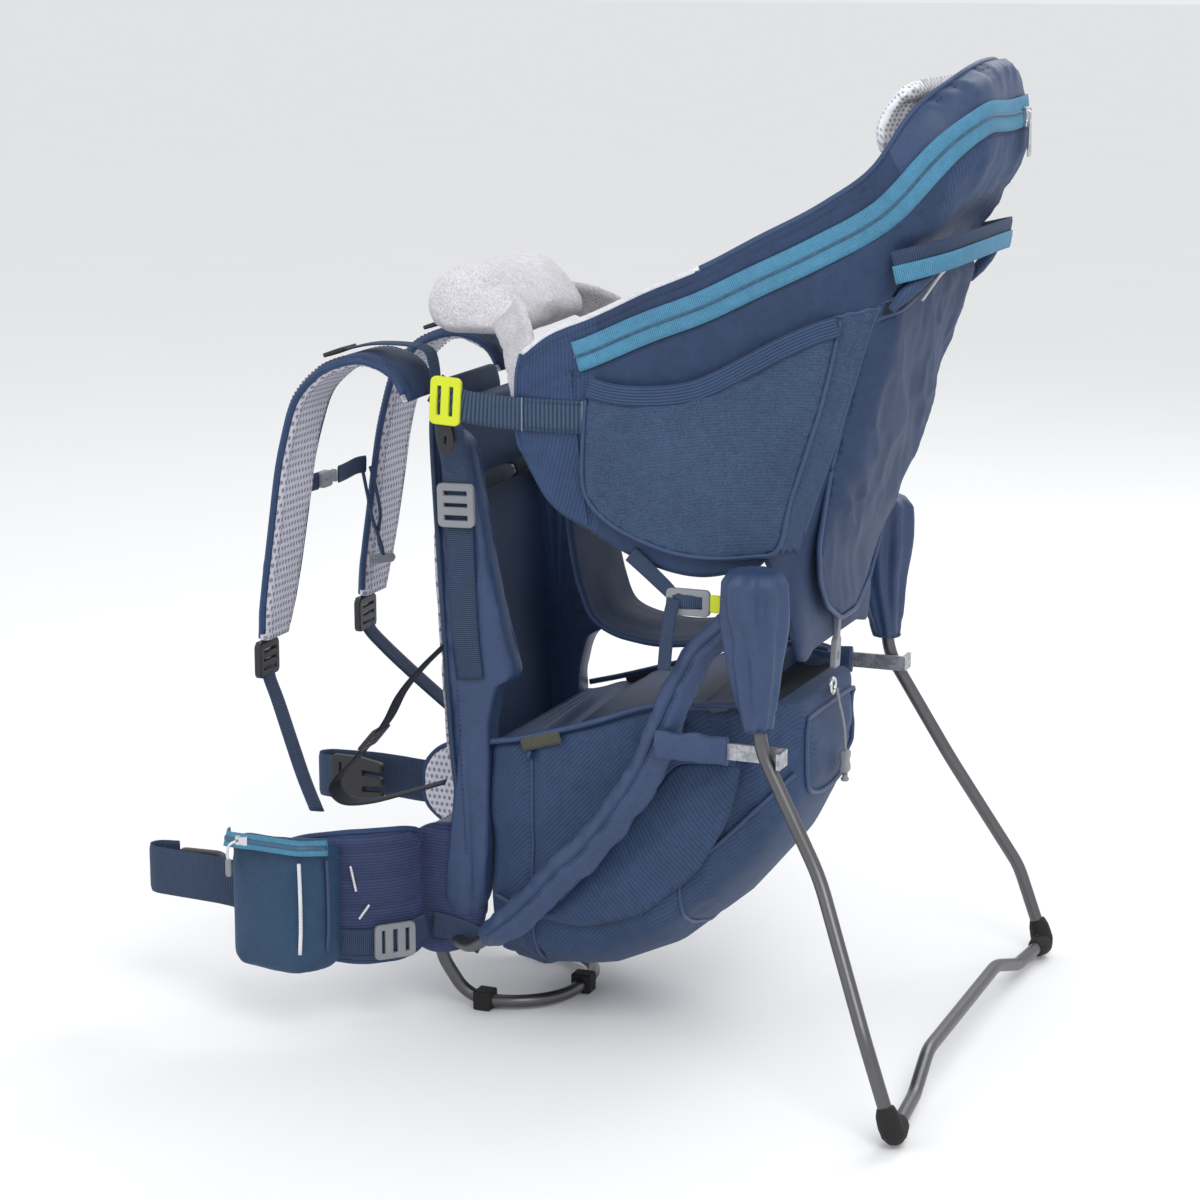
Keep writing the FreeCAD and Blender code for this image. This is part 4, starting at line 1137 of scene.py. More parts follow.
for s, nm in ((-1, "near"), (1, "far")):
    cc = np.linspace(ca + 0.8, cb, 12)
    if s > 0:
        cc = NC - 1 - cc
    SG = []
    for k, z in enumerate(np.linspace(632, 430, 56)):
        row = []
        for c in cc:
            j = int(round(c))
            zz_ = z - (632 - np.interp(G[0, j, 0], [316, 350], [612, 622])) * np.clip((z - 430) / 200.0, 0, 1)
            d_ = float(np.interp(-zz_, -G[:, j, 2], CL[:, j]))
            row.append(on(c, d_, 3.4)[0])
        SG.append(row)
    SG = np.array(SG)
    if s > 0:
        SG = SG[:, ::-1]
    Ns = grid_normals(SG)
    if Ns[20, 5][1] * s < 0:
        SG = SG[:, ::-1]
        Ns = grid_normals(SG)
    w_ = folds(SG.reshape(-1, 3), (0.5, 0, -0.85), 26, 4.0, 37).reshape(SG.shape[:2]) * 1.5
    ed = np.minimum(np.arange(12)[None, :], 11 - np.arange(12)[None, :]) / 2.0
    put(shell("rear_side_strip_" + nm, SG, [stretch], out=1.0, inn=1.5, disp=w_ * np.clip(ed, 0, 1) * np.clip(np.minimum(np.arange(56), 55 - np.arange(56)) / 7.0, 0, 1)[:, None]), "pack", ())
    put(pipe("rear_side_strip_piping_" + nm, SG[::4, -1 if s < 0 else -1], 1.7, navy_satin, step=4), "pack")
    put(pipe("rear_side_strip_top_" + nm, SG[0], 1.6, navy_satin, step=4), "pack")
# wing front seam, horizontal double topstitch
wsm = [on(col_at(118 + 1.5 * k), 36 + 14 * k, 3.0)[0] for k in range(0, 10)]
r1 = stitches("wing_seam_near", wsm, thread_m, pitch=4, dash=2.6)
put(r1, "pack")
put(mirror(r1, "wing_seam_far"), "pack")
r1 = pipe("wing_seam_roll_near", [on(col_at(115 + 1.5 * k), 36 + 14 * k, 2.2)[0] for k in range(0, 10)], 1.4, navy_rib, step=4)
put(r1, "pack")
put(mirror(r1, "wing_seam_roll_far"), "pack")

# wing webbing with bar tacks, and the pale green ladder buckle
wt = ribbon("wing_tape_near", [(-2, -150, 546), (18, -150.4, 534), (40, -151.4, 531), (70, -154.6, 530), (100, -155.6, 530), (131, -155.6, 530)], (0, 0, 1), 26, web_rib, t=2.0, step=3, nw=6)
put(wt, "pack", ("wing_straps",))
put(mirror(wt, "wing_tape_far"), "pack", ())
tk = []
for x in (76, 127):
    tk.append(stitches("tack%d" % x, [(x, -157.0, 518 + 3 * k) for k in range(9)], thread_l, pitch=1.6, dash=3.0, r=0.5, smooth=False))
for z in (519.5, 540.5):
    tk.append(stitches("tackh%d" % int(z), [(78 + 6 * k, -157.0, z) for k in range(9)], thread_m, pitch=3.6, dash=2.4, r=0.45, smooth=False))
t1 = join("wing_tape_tacks_near", tk)
put(t1, "pack")
put(mirror(t1, "wing_tape_tacks_far"), "pack")
gb = plate("wing_buckle_near", [(-12, -18), (12, -18), (12, 18), (-12, 18)], [[(-8.5, -13), (-2.5, -13), (-2.5, 13), (-8.5, 13)], [(2.0, -13), (8.0, -13), (8.0, 13), (2.0, 13)]],
           4.6, green, (8, -151.5, 536), (1, 0, -0.06), (0.06, 0, 1), 1.3, 4.0, 1.5)
put(gb, "pack", ("wing_buckles",))
put(mirror(gb, "wing_buckle_far"), "pack", ())

# ------------------------------------------------------------------ rear pocket
flap = [(370, 634), (358, 607), (333, 528), (299, 416), (296, 352)]
sf = surf_path(flap)
Lf = sf.length
P_, N_ = sf(np.array([0.0]), np.array([Lf / 2]))
if N_[0][0] < 0:
    sf = surf_path(flap, -1.0)
sf0 = sf


def sf(u, v):
    P, N = sf0(u, np.clip(v, 0, None))
    w = np.clip(np.abs(u) - 84, 0, None)
    P = P + np.stack([-0.035 * w ** 2, 0 * w, 0 * w + np.where(v < 0, -v, 0) * 0.97], 1)
    N = unit(N + np.stack([0 * w, np.sign(u) * w * 0.045, 0 * w], 1))
    return P, N


sf.length = Lf
flo = [(-110, 34), (-106, 26), (-92, 19), (-70, 10), (-30, -4), (0, -10), (30, -15), (60, -18), (86, -16), (100, -4), (106, 14), (103, 60), (101, 150), (94, 215), (80, 248), (58, 272), (20, Lf - 4), (-20, Lf - 4), (-58, 272), (-80, 248), (-94, 215), (-102, 150), (-107, 60)]


def fdisp(v2, P, d):
    w = folds(P, (0.15, 0.75, -0.75), 34, 4.5, 41) * 4.2 + folds(P, (0.1, 0.6, -0.9), 15, 5.0, 43) * 1.3
    w = w + 5.0 * bump(v2[:, 1], 150, 80) 
    return w * np.clip(d / 20, 0.2, 1)


rp = panel("rear_pocket_cloth", flo, sf, [navy], t=3.0, step=4.2, crown=6.0, crown_w=30, disp=fdisp, corner=8)
put(rp, "pack", ("rear_pocket",))
q = np.array(flo + flo[:1], float)
Pp, Np = sf(q[:, 0] * 0.99, q[:, 1])
put(pipe("rear_pocket_edge", round_corners((Pp + Np * 1.6)[:-1], 8), 2.2, navy_satin, step=4), "pack")
sl_o = np.array([(-106, 22), (-90, 13), (-68, 4), (-30, -10), (0, -16), (30, -21), (60, -24)], float)
Pp, Np = sf(sl_o[:, 0], sl_o[:, 1])
put(ribbon("rear_slot_shadow", Pp + Np * 1.5 + np.array([1.0, 0, 2.0]), (0.45, 0, 0.9), 11, navy_shade, t=1.5, step=4, wprof=[18, 15, 12, 10, 9, 8, 6]), "pack")
put(pipe("rear_slot_piping", (Pp + Np * 6.5 + np.array([-1.0, 0, -4.5]))[2:5], 1.3, white, step=4), "pack")
put(pipe("rear_slot_lip", Pp + Np * 2.0 + np.array([3.4, 0, 9.5]), 1.6, navy_satin, step=4), "pack")

# ------------------------------------------------------------------ grab handle
hpth = [(364, -117, 652), (382, -108, 657), (399, -88, 662), (409, -50, 666), (411, 0, 667), (409, 50, 666), (399, 88, 662), (382, 108, 657), (364, 117, 652)]
hb = ribbon("grab_handle_web", hpth, (0.15, 0, 1), 25, web, t=2.6, step=4, wprof=[25, 25, 25, 24, 23, 24, 25, 25, 25])
put(hb, "pack", ("grab_handle",))
hb = ribbon("grab_handle_band", [(p[0] + 1.6 * (1 if i not in (0, 8) else 0.3), p[1] * (1.012), p[2] - 5.6) for i, p in enumerate(hpth)], (0.15, 0, 1), 14, [light], t=1.0, step=4, nw=4)
put(hb, "pack", ())
put(pipe("handle_roll", [(388, 92, 646), (379, 104, 639), (370, 112, 630), (362, 116, 620)], 6.5, navy_diag, step=3, radii=[2.5, 5, 5.5, 3]), "pack")
put(pipe("handle_roll_near", [(388, -92, 646), (379, -104, 639), (370, -112, 630), (362, -116, 620)], 6.5, navy_diag, step=3, radii=[2.5, 5, 5.5, 3]), "pack")

# ================================================================== lower bag
OUT = [(26, 38, 45, 110, 248), (60, 33, 48, 117, 256), (117, 45, 46, 119, 274), (171, 70, 42, 119, 294),
       (220, 112, 36, 115, 298), (258, 158, 30, 99, 298), (280, 200, 22, 73, 293), (288.5, 225, 10, 49, 256)]


def bag_ring(floor, rise, half, top, x, m=96):
    pts = np.array([(-half, top), (-half, floor + rise + 12), (-half * 0.93, floor + rise * 0.72), (-half * 0.72, floor + rise * 0.36),
                    (-half * 0.4, floor + rise * 0.08), (0, floor), (half * 0.4, floor + rise * 0.08), (half * 0.72, floor + rise * 0.36),
                    (half * 0.93, floor + rise * 0.72), (half, floor + rise + 12), (half, top)], float)
    r = resample(round_corners(np.vstack([pts]), 12, closed=True), n=m, closed=True)
    return r


key = np.array([[o[1], o[2], o[3], o[4]] for o in OUT], float)
kx = np.array([o[0] for o in OUT], float)
xs = np.unique(np.r_[np.linspace(26, 220, 46), np.linspace(220, 288.5, 26)])
rings = []
for x in xs:
    k = [np.interp(x, kx, key[:, i]) for i in range(4)]
    r = bag_ring(k[0], k[1], k[2] - 1.5, k[3], x)
    rings.append(np.stack([np.full(len(r), x), r[:, 0], r[:, 1]], 1))
BG = np.array(rings)
BN = grid_normals(BG, wrap=True)
cen = BG.mean(1, keepdims=True)
if np.sum(BN * (BG - cen)) < 0:
    BN = -BN
Pb = BG.reshape(-1, 3)
bd = (folds(Pb, (0.8, 0.0, 0.6), 42, 4.0, 51) * 3.0 + folds(Pb, (0.2, 0.3, -0.9), 18, 4.0, 53) * 1.0 + soft(Pb, 70, 55) * 2.5).reshape(BG.shape[:2])
low_ = np.clip((BG[..., 2] - (BG[..., 2].min(1))[:, None]) / 40.0, 0, 1)
side_clear = np.clip(1 - np.abs(BG[..., 2] - 250) / 60, 0, 1)
bd = np.minimum(bd * 1.7, 2.0) - 2.0
bd = bd - 3.0 * bump(BG[..., 0], 66, 3.0) - 2.0 * bump(BG[..., 0], 196, 2.5)
BG2 = BG + BN * bd[..., None]
tops = np.interp(BG[..., 0], kx, key[:, 3])
halfs = np.interp(BG[..., 0], kx, key[:, 2])
istop = (np.abs(BG[..., 2] - tops) < 1.0) & (BG[..., 0] < 262)
dip = np.clip(1 - (BG[..., 1] / halfs) ** 2, 0, 1) ** 0.5
BG2[..., 2] -= np.where(istop, 34 * dip * np.clip((262 - BG[..., 0]) / 30, 0, 1) * np.clip((BG[..., 0] - 30) / 14, 0, 1), 0)
# faces of the dip in the bag top take the very dark navy: painted shade in the hollow
bag_shade_faces = []
for i in range(BG.shape[0] - 1):
    for j in range(BG.shape[1]):
        bag_shade_faces.append(1 if (istop[i, j] and istop[i, (j + 1) % BG.shape[1]] and dip[i, j] > 0.25) else 0)
bag = loft("lower_bag_cloth", BG2, [navy_diag, navy_shade], face_mat=bag_shade_faces)
for s, nm in ((-1, "near"), (1, "far")):
    tp = np.array([(26, 110, 248), (60, 116, 256.5), (117, 118, 274.5), (171, 118, 294), (220, 114, 298.5), (250, 103, 298.5)], float) * (1, s, 1)
    put(pipe("bag_top_edge_" + nm, tp, 2.6, navy_satin, step=4), "pack")
    put(ribbon("bag_top_elastic_" + nm, [(58, s * 118.6, 250), (76, s * 119.2, 256), (92, s * 119.6, 261)], (0, 0, 1), 11, [olive], t=1.6, step=3, nw=4), "pack")
put(bag, "pack", ("lower_bag",))
for i, x in enumerate((66, 196)):
    k = int(np.argmin(np.abs(xs - x)))
    put(pipe("bag_seam_%d" % i, BG2[k, ::3] + BN[k, ::3] * 0.6, 1.7, navy_satin, step=4, closed=True), "pack")
k = -1
put(pipe("bag_rear_piping", BG2[-3, ::3] + BN[-3, ::3] * 1.0, 2.0, navy_satin, step=4, closed=True), "pack")
# lower seam along each side
for s, nm in ((-1, "near"), (1, "far")):
    low = np.array([(30, 112, 118), (60, 118, 112), (117, 119.5, 122), (171, 119, 143), (220, 114, 178), (256, 99, 214), (279, 76, 238)], float)
    low[:, 1] = (low[:, 1] + 0.6) * s
    put(pipe("bag_lower_piping_" + nm, low, 2.0, navy_satin, step=4), "pack")
    put(stitches("bag_lower_stitch_" + nm, low + (0, s * 0.8, 5.5), thread_m, pitch=4.2, dash=2.6), "pack")
bp = [(66, 106), (112, 102), (164, 118), (212, 160), (238, 206), (247, 242), (248, 256), (238, 258), (192, 253), (150, 199), (90, 124)]


def bdisp(v2, P, d):
    return folds(P, (0.75, 0, 0.65), 24, 4.0, 61) * 2.0 + 5.0 * bump(d, 34, 22)


bpk = panel("bag_pocket_near", bp, surf_y(-122.2, -1.0), [navy_diag], t=3.0, step=4.0, crown=4.0, crown_w=20, disp=bdisp, corner=10)
put(bpk, "pack", ("bag_pocket_left",))
put(mirror(bpk, "bag_pocket_far"), "pack", ("bag_pocket_right",))
top = [(92, -125, 126), (120, -126, 158), (150, -126.5, 197), (170, -126.5, 225), (192, -126, 252), (216, -125, 257), (244, -124, 258)]
el = ribbon("bag_pocket_elastic_near", top, (0.8, 0, -0.6), 10, hem_mat, t=3.0, step=3, crown=1.2)
put(el, "pack")
put(mirror(el, "bag_pocket_elastic_far"), "pack")

# outline of the lower side panel between the wing and the bag; no panel is built from it
SPO = [(60, 143.5), (120, 141), (200, 139), (262, 133)]
lp = [(76, 497), (96, 462), (130, 440), (178, 416), (222, 408), (262, 416), (262, 380), (232, 338), (190, 268), (150, 205), (110, 150), (76, 118), (58, 112), (52, 200), (62, 320), (70, 420)]
# ------------------------------------------------------------------ strut covers
sleeve = np.array([(256, 152, 380), (240, 152, 366), (224, 152, 350), (206, 151.6, 317), (190, 151, 280), (173, 150, 243), (155, 148.5, 216), (138, 147, 193), (120, 146, 172), (104, 145, 157.5), (76, 143.6, 126),
                   (50, 142, 101), (30, 134.5, 86)], float)
for s, nm in ((-1, "near"), (1, "far")):
    C = crom(sleeve * (1, s, 1), step=3.0)
    T = unit(np.gradient(C, axis=0))
    out = np.array([0, s, 0.0])
    rings = []
    L = len(C)
    for i in range(L):
        up = unit(np.cross(T[i], out))
        ang = np.linspace(0, 2 * np.pi, 28, endpoint=False)
        wob = 10.0 + 0.9 * vnoise(np.stack([C[i, 0] / 9 + np.cos(ang) * 1.2, C[i, 2] / 9 + np.sin(ang) * 1.2, ang * 0], 1), 71)
        flat = 1.0 + 0.12 * np.cos(ang)
        end = min(1.0, 0.72 + 0.28 * min(i, L - 1 - i) / 4.0)
        wide = np.interp(i / (L - 1.0), [0, 0.15, 0.4, 0.7, 0.9, 1.0], [1.1, 1.5, 1.9, 1.9, 1.7, 1.1])
        sg = 1.0 if up[0] < 0 else -1.0
        ca_ = np.cos(ang)
        rings.append(C[i] + (ca_ * wob * flat * end * np.where(ca_ * sg > 0, 1.15, wide))[:, None] * up
                     + (np.sin(ang) * wob * 0.92 * end * (1 - 0.25 * ca_ ** 2) + 1.6 * np.sin(ang) * bump(ca_ * sg, -0.35, 0.16))[:, None] * out)
    lo_ = loft("strut_cover_" + nm, np.array(rings), navy_satin)
    put(lo_, "pack", ("strut_sleeve_left" if s < 0 else "strut_sleeve_right",))
    up0 = np.array([unit(np.cross(T[i], out)) for i in range(L)])
    put(pipe("strut_cover_seam_" + nm, C[3:-3:4] + out * 9.6 + up0[3:-3:4] * 2.0, 1.2, navy_rib, step=4), "pack")
    put(stitches("strut_cover_stitch_" + nm, C[3:-3:4] + out * 9.4 - up0[3:-3:4] * 1.5, thread_m, pitch=4.2, dash=2.6), "pack")

# ================================================================== cord first among the small parts
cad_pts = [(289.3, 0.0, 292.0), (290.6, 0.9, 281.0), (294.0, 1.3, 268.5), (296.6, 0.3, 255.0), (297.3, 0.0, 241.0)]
cu = bpy.data.curves.new("drawcord_line", "CURVE")
cu.dimensions = "3D"
spn = cu.splines.new("NURBS")
spn.points.add(len(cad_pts) - 1)
for i, p in enumerate(M(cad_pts)):
    spn.points[i].co = (p[0], p[1], p[2], 1)
spn.order_u = 3
spn.use_endpoint_u = True
cu.bevel_depth = 0.0013
cu.bevel_resolution = 4
cu.resolution_u = 16
cu.use_fill_caps = True
cu.materials.append(cord_m)
cord = bpy.data.objects.new("drawcord_run", cu)
sc.collection.objects.link(cord)
lk = pillow("cord_lock_body", [(293.6, -6), (301, -6), (301, 6), (293.6, 6)], 221.4, 240.4, 3.0, grey, axis=2, n=22, m=40, corner=2.6, taper=0.55)
nudge(lk, lambda p, n: -0.9 * bump(p[:, 2], 231, 2.6) * (np.abs(n[:, 0]) > 0.5))
btn = loft("cord_button_cap", np.array([[(297.3 + r * math.cos(a), r * math.sin(a), z) for a in np.linspace(0, 2 * math.pi, 24, endpoint=False)]
                                        for r, z in ((2.3, 222.6), (2.3, 217.2), (3.3, 216.6), (3.5, 215.4), (3.0, 214.2), (1.8, 213.7))]), grey)
put(lk, "pack", ("cord_lock",))
put(btn, "lock_button", ("cord_lock_button",))
put(cord, "pack", ("drawcord",))

# hook behind the rear rim
rh = plate("rim_hook_body", [(-6, -12), (6, -12), (6, 10), (2.4, 13), (2.4, 32), (-2.4, 32), (-2.4, 13), (-6, 10)], [[(-3, -7), (3, -7), (3, 1), (-3, 1)]],
           5.0, grey, (287.5, 0, 323), (0, 1, 0), (0.04, 0, 1), 1.0, 1.6, 1.0)
put(rh, "pack", ("rim_hook",))

# ================================================================== seat, chin pad, back
seatp = [(69, 440), (74, 400), (82, 366), (96, 340), (132, 330), (178, 330), (224, 331.5), (245, 342), (257, 355)]


def seat_disp(G_):
    p = G_.reshape(-1, 3)
    return (np.stack([0 * p[:, 0], 0 * p[:, 0], 2.0 * soft(p, 30, 77) - 1.2 * bump(np.abs(p[:, 1]), 40, 6)], 1)).reshape(G_.shape)


st_ = ribbon("seat_cloth", [(p[0], 0, p[1]) for p in seatp], (0, 1, 0), 108, [navy], t=7.0, step=4, nw=26, wprof=[104, 104, 102, 98, 96, 98, 104, 106, 106], disp=seat_disp)
put(st_, "seat", ("seat",))

ch = pillow("chin_pad_fleece", [(-46, 585), (-51, 606), (-40, 625), (-20, 635), (5, 634), (22, 619), (37, 603), (43, 590), (38, 580), (-28, 577)],
            -71, 71, 16, fleece, n=30, m=46, taper=0.7)
puff(ch, 0.005, 4.0, 0.004)
nudge(ch, lambda p, n: soft(p, 16, 5) * 0.7 - 1.8 * bump(np.abs(p[:, 1]), 50, 2.0) - 1.5 * bump(p[:, 0], -6, 2.2) * (p[:, 2] > 600))
subdiv(ch)
put(ch, "pack", ("chin_pad",))
# band that joins the chin pad to the wings
for s, nm in ((-1, "near"), (1, "far")):
    pts = [(22, s * 62, 597), (36, s * 82, 590), (50, s * 104, 579), (60, s * 124, 568), (67, s * 138, 556), (72, s * 146, 540)]

    def bdisp_(G_):
        p = G_.reshape(-1, 3)
        a_ = folds(p, (0.4, 0.9, -0.3), 18, 3.0, 141) * 1.6 + soft(p, 12, 142) * 0.6
        return np.stack([0.6 * a_, 0 * a_, 0.8 * a_], 1).reshape(G_.shape)

    fb = ribbon("chin_band_" + nm, pts, (0.75, 0, 0.66), 30, [fleece], t=9.0, step=3, nw=12, wprof=[34, 34, 32, 28, 24, 18], disp=bdisp_)
    put(fb, "pack", ())

sb = surf_path([(-24, 522), (-4, 184)], 1.0)
P_, N_ = sb(np.array([0.0]), np.array([100.0]))
if N_[0][0] > 0:
    sb = surf_path([(-24, 522), (-4, 184)], -1.0)
LB = sb.length
bo = [(-108, 10), (-96, 0), (96, 0), (108, 10), (112, 60), (112, LB - 30), (104, LB), (-104, LB), (-112, LB - 30), (-112, 60)]
bpnl = panel("back_panel_cloth", bo, sb, [navy], t=11.0, step=6, crown=0.0, disp=lambda v, P, d: -2.2 * bump(np.abs(v[:, 0]), 31, 4) - 1.5 * bump(np.mod(v[:, 1], 56) - 28, 0, 3) * (np.abs(v[:, 0]) > 31),
             corner=14, edge_r=6)
put(bpnl, "pack", ("back_panel",))
for s, nm in ((-1, "near"), (1, "far")):
    put(pipe("back_panel_piping_" + nm, [(-26, s * 100, 521), (-22.5, s * 112.5, 494), (-14, s * 113.5, 350), (-6.5, s * 113.5, 232), (-4, s * 104, 190)], 2.2, web, step=5), "pack")
cu_ = [(-33.0, 424), (-27.5, 424.5), (-14.2, 202), (-19.5, 201)]
for s, nm in ((-1, "near"), (1, "far")):
    c_ = pillow("back_cushion_" + nm, cu_, s * 66 - 26, s * 66 + 26, 8, mesh_m, n=20, m=60, corner=2.5, taper=0.5)
    nudge(c_, lambda p, n: (1.4 - 2.0 * bump(np.mod(p[:, 2] - 200, 44) - 22, 0, 3.0)) * (n[:, 0] < -0.3))
    project_uv(c_, (0, 1, 0), (0, 0, 1))
    subdiv(c_)
    put(c_, "pack", ("back_cushions",) if s < 0 else ())
lm = pillow("lumbar_cushion", [(-49.5, 165), (-58, 150), (-61, 100), (-55, 72), (-49.5, 69)], -94, 94, 20, mesh_m, n=30, m=40, corner=5)
puff(lm, 0.006, 3.5, 0.004)
nudge(lm, lambda p, n: -2.2 * bump(np.mod(p[:, 1] + 192, 48) - 24, 0, 2.5) * (n[:, 0] < 0))
project_uv(lm, (0, 1, 0), (0, 0, 1))
subdiv(lm)
put(lm, "pack", ("lumbar_pad",))

# ================================================================== harness
yk = pillow("harness_yoke_cloth", [(-42, 502), (-44.5, 536), (-38, 539), (-34, 524), (-32.5, 502)], -56, 56, 12, navy, n=22, m=40, corner=3, taper=0.6)
put(yk, "harness", ("harness_yoke",))
STR = [(-40, 529), (-47, 543), (-56, 552.5), (-80, 560), (-108, 553), (-126, 540), (-140, 522), (-150, 492), (-157, 463), (-163, 424), (-169, 386), (-175, 350), (-180, 318)]
for s, nm in ((-1, "near"), (1, "far")):
    path = np.array([(p[0], s * 95, p[1]) for p in STR], float)
    side = np.array([0, 1.0, 0])
    C = crom(path, step=3)
    T = unit(np.gradient(C, axis=0))
    # face outwards: away from the back
    wp = [56, 60, 63, 66, 66, 65, 63, 62, 62, 61, 60, 56, 44]

    def sdisp(G_):
        p = G_.reshape(-1, 3)
        c0_ = np.array([-20, 0, 430.0])
        dirn = unit((p - c0_) * (1, 0, 1))
        a = 0.8 * soft(p, 26, 81) + 0.7 * folds(p, (0, 1, 0.1), 22, 3.0, 83)
        return (dirn * a[:, None]).reshape(G_.shape)

    rb = ribbon("shoulder_strap_" + nm + "_body", path, side, 64, [navy, mesh_m], t=10.5, step=3, nw=14, wprof=wp, two=True, disp=sdisp)
    # which face is outside is decided by the ribbon frame: swap if needed
    me = rb.data
    outn = 0
    for p in list(me.polygons)[:400]:
        if p.material_index == 0:
            c_ = p.center
            outn += (p.normal[0] * (c_[0] * 1000 + X0 + 20) + p.normal[2] * (c_[2] * 1000 - 430)) > 0
    tot = sum(1 for p in list(me.polygons)[:400] if p.material_index == 0)
    if outn < tot / 2:
        for p in me.polygons:
            p.material_index = 1 - p.material_index
    put(rb, "harness", ("shoulder_strap_left",) if s < 0 else ("shoulder_strap_right",))
    Nn = np.cross(side[None], T)
    Nn = Nn * np.sign(np.sum(Nn * (C - np.array([-20, s * 95, 430.0])), 1, keepdims=True))
    W_ = np.interp(np.linspace(0, 1, len(C)), np.linspace(0, 1, len(wp)), wp)
    for e, en in ((-1, "a"), (1, "b")):
        ed = C + side * (e * (W_ / 2 - 0.4))[:, None]
        put(pipe("strap_binding_%s_%s" % (nm, en), ed[2:-2:4], 3.0, navy_rib, step=4), "harness")
        put(stitches("strap_stitch_%s_%s" % (nm, en), (C + side * (e * (W_ / 2 - 6))[:, None] + Nn * 5.4)[2:-2:4], thread_m, pitch=4, dash=2.6), "harness")
        put(stitches("strap_inner_stitch_%s_%s" % (nm, en), (C + side * (e * (W_ / 2 - 9))[:, None] - Nn * 5.3)[2:-2:4], thread_l, pitch=4, dash=2.6), "harness")
    put(ribbon("strap_web_" + nm, (C + Nn * 6.4)[len(C) // 3:-2:5], side, 26, [web], t=1.8, step=4, nw=6), "harness")
    # load lifter over the top
    lf = ribbon("load_lifter_" + nm, [(-38, s * 97, 571), (-58, s * 97, 572), (-80, s * 97, 571), (-100, s * 97, 566.5), (-119, s * 97, 560)], side, 20, [web], t=2.0, step=3, nw=6)
    put(lf, "harness", ("load_lifters",) if s < 0 else ())
    lb = plate("lifter_buckle_" + nm, [(-14, -9), (14, -9), (14, 9), (-14, 9)], [[(-10, -6), (10, -6), (10, -2), (-10, -2)], [(-10, 1.5), (10, 1.5), (10, 5.5), (-10, 5.5)]], 3.6, black,
               (-112, s * 97, 563.5), side, (0.94, 0, 0.34), 0.8, 3.0)
    put(lb, "harness", ())
    lt = ribbon("lifter_tail_" + nm, [(-38, s * 97, 571), (-30, s * 97, 566), (-26, s * 98, 552), (-25, s * 99, 536)], side, 20, [web], t=2.0, step=3, nw=6)
    put(lt, "pack", ())
    # ladder lock at the strap end
    ll = plate("strap_lock_" + nm, [(-16, -14), (16, -14), (16, 14), (-16, 14)], [[(-12, -11), (12, -11), (12, -6), (-12, -6)], [(-12, -3), (12, -3), (12, 2), (-12, 2)], [(-12, 5), (12, 5), (12, 10), (-12, 10)]],
               6.4, black, (-187.5, s * 95, 297), side, (0, 0, 1), 1.4, 4.0, 1.2)
    put(ll, "harness", ("strap_ladder_locks",) if s < 0 else ())
    tb = ribbon("strap_lock_tab_" + nm, [(-180, s * 95, 330), (-184.5, s * 95, 318), (-187.0, s * 95, 308), (-189.5, s * 95, 304), (-191.5, s * 95, 312)], side, 24, [web], t=1.8, step=3, nw=6)
    put(tb, "harness", ())
    lw_ = ribbon("lower_web_" + nm, [(-187, s * 95, 296), (-185, s * 97, 282), (-172, s * 106, 263), (-152, s * 123, 236), (-131, s * 141, 209), (-112, s * 155, 186)], (0.18, 0.98 * 1.0, 0.1 * s), 17, [web], t=2.0, step=4, nw=6)
    tuple(M([(-187, s * 95, 296)])[0])
    tuple(M([(-112, s * 155, 186)])[0])
    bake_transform(lw_)
    if s < 0:
        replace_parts(lw_, "lower_strap_webbing")
# sternum strap and its T buckle
ss_ = ribbon("sternum_web", [(-168.5, 62, 440), (-170.5, 48, 440.5), (-171, 30, 439), (-169.5, 16, 439), (-167, 5, 440)], (0, 0, 1), 15, [web], t=1.8, step=3, nw=6)
put(ss_, "harness", ("sternum_strap",))
ss2 = ribbon("sternum_web_near", [(-168.5, -62, 440), (-170, -48, 440), (-168.5, -30, 440)], (0, 0, 1), 15, [web], t=1.8, step=3, nw=6)
put(ss2, "harness", ())
t1 = plate("sternum_t_buckle_a", [(-13, -5.2), (2, -5.2), (4, -3), (11, -3), (13, -5), (13, 5), (11, 3), (4, 3), (2, 5.2), (-13, 5.2)], [[(-10.5, -3), (-6.5, -3), (-6.5, 3), (-10.5, 3)]], 5.5, grey, (-168, -14, 440), (0, 1, 0), (0, 0, 1), 1.0, 1.2, 0.8)
t2 = plate("sternum_t_buckle_b", [(-8, -5.5), (8, -5.5), (8, 5.5), (-8, 5.5)], [[(3, -3), (6, -3), (6, 3), (3, 3)], [(-5.5, -2.2), (0.5, -2.2), (0.5, 2.2), (-5.5, 2.2)]], 8.0, grey, (-168, -20, 440), (0, 1, 0), (0, 0, 1), 1.4, 2.2, 0.8)
put(join("sternum_clip", [t1, t2]), "harness", ("sternum_buckle",))

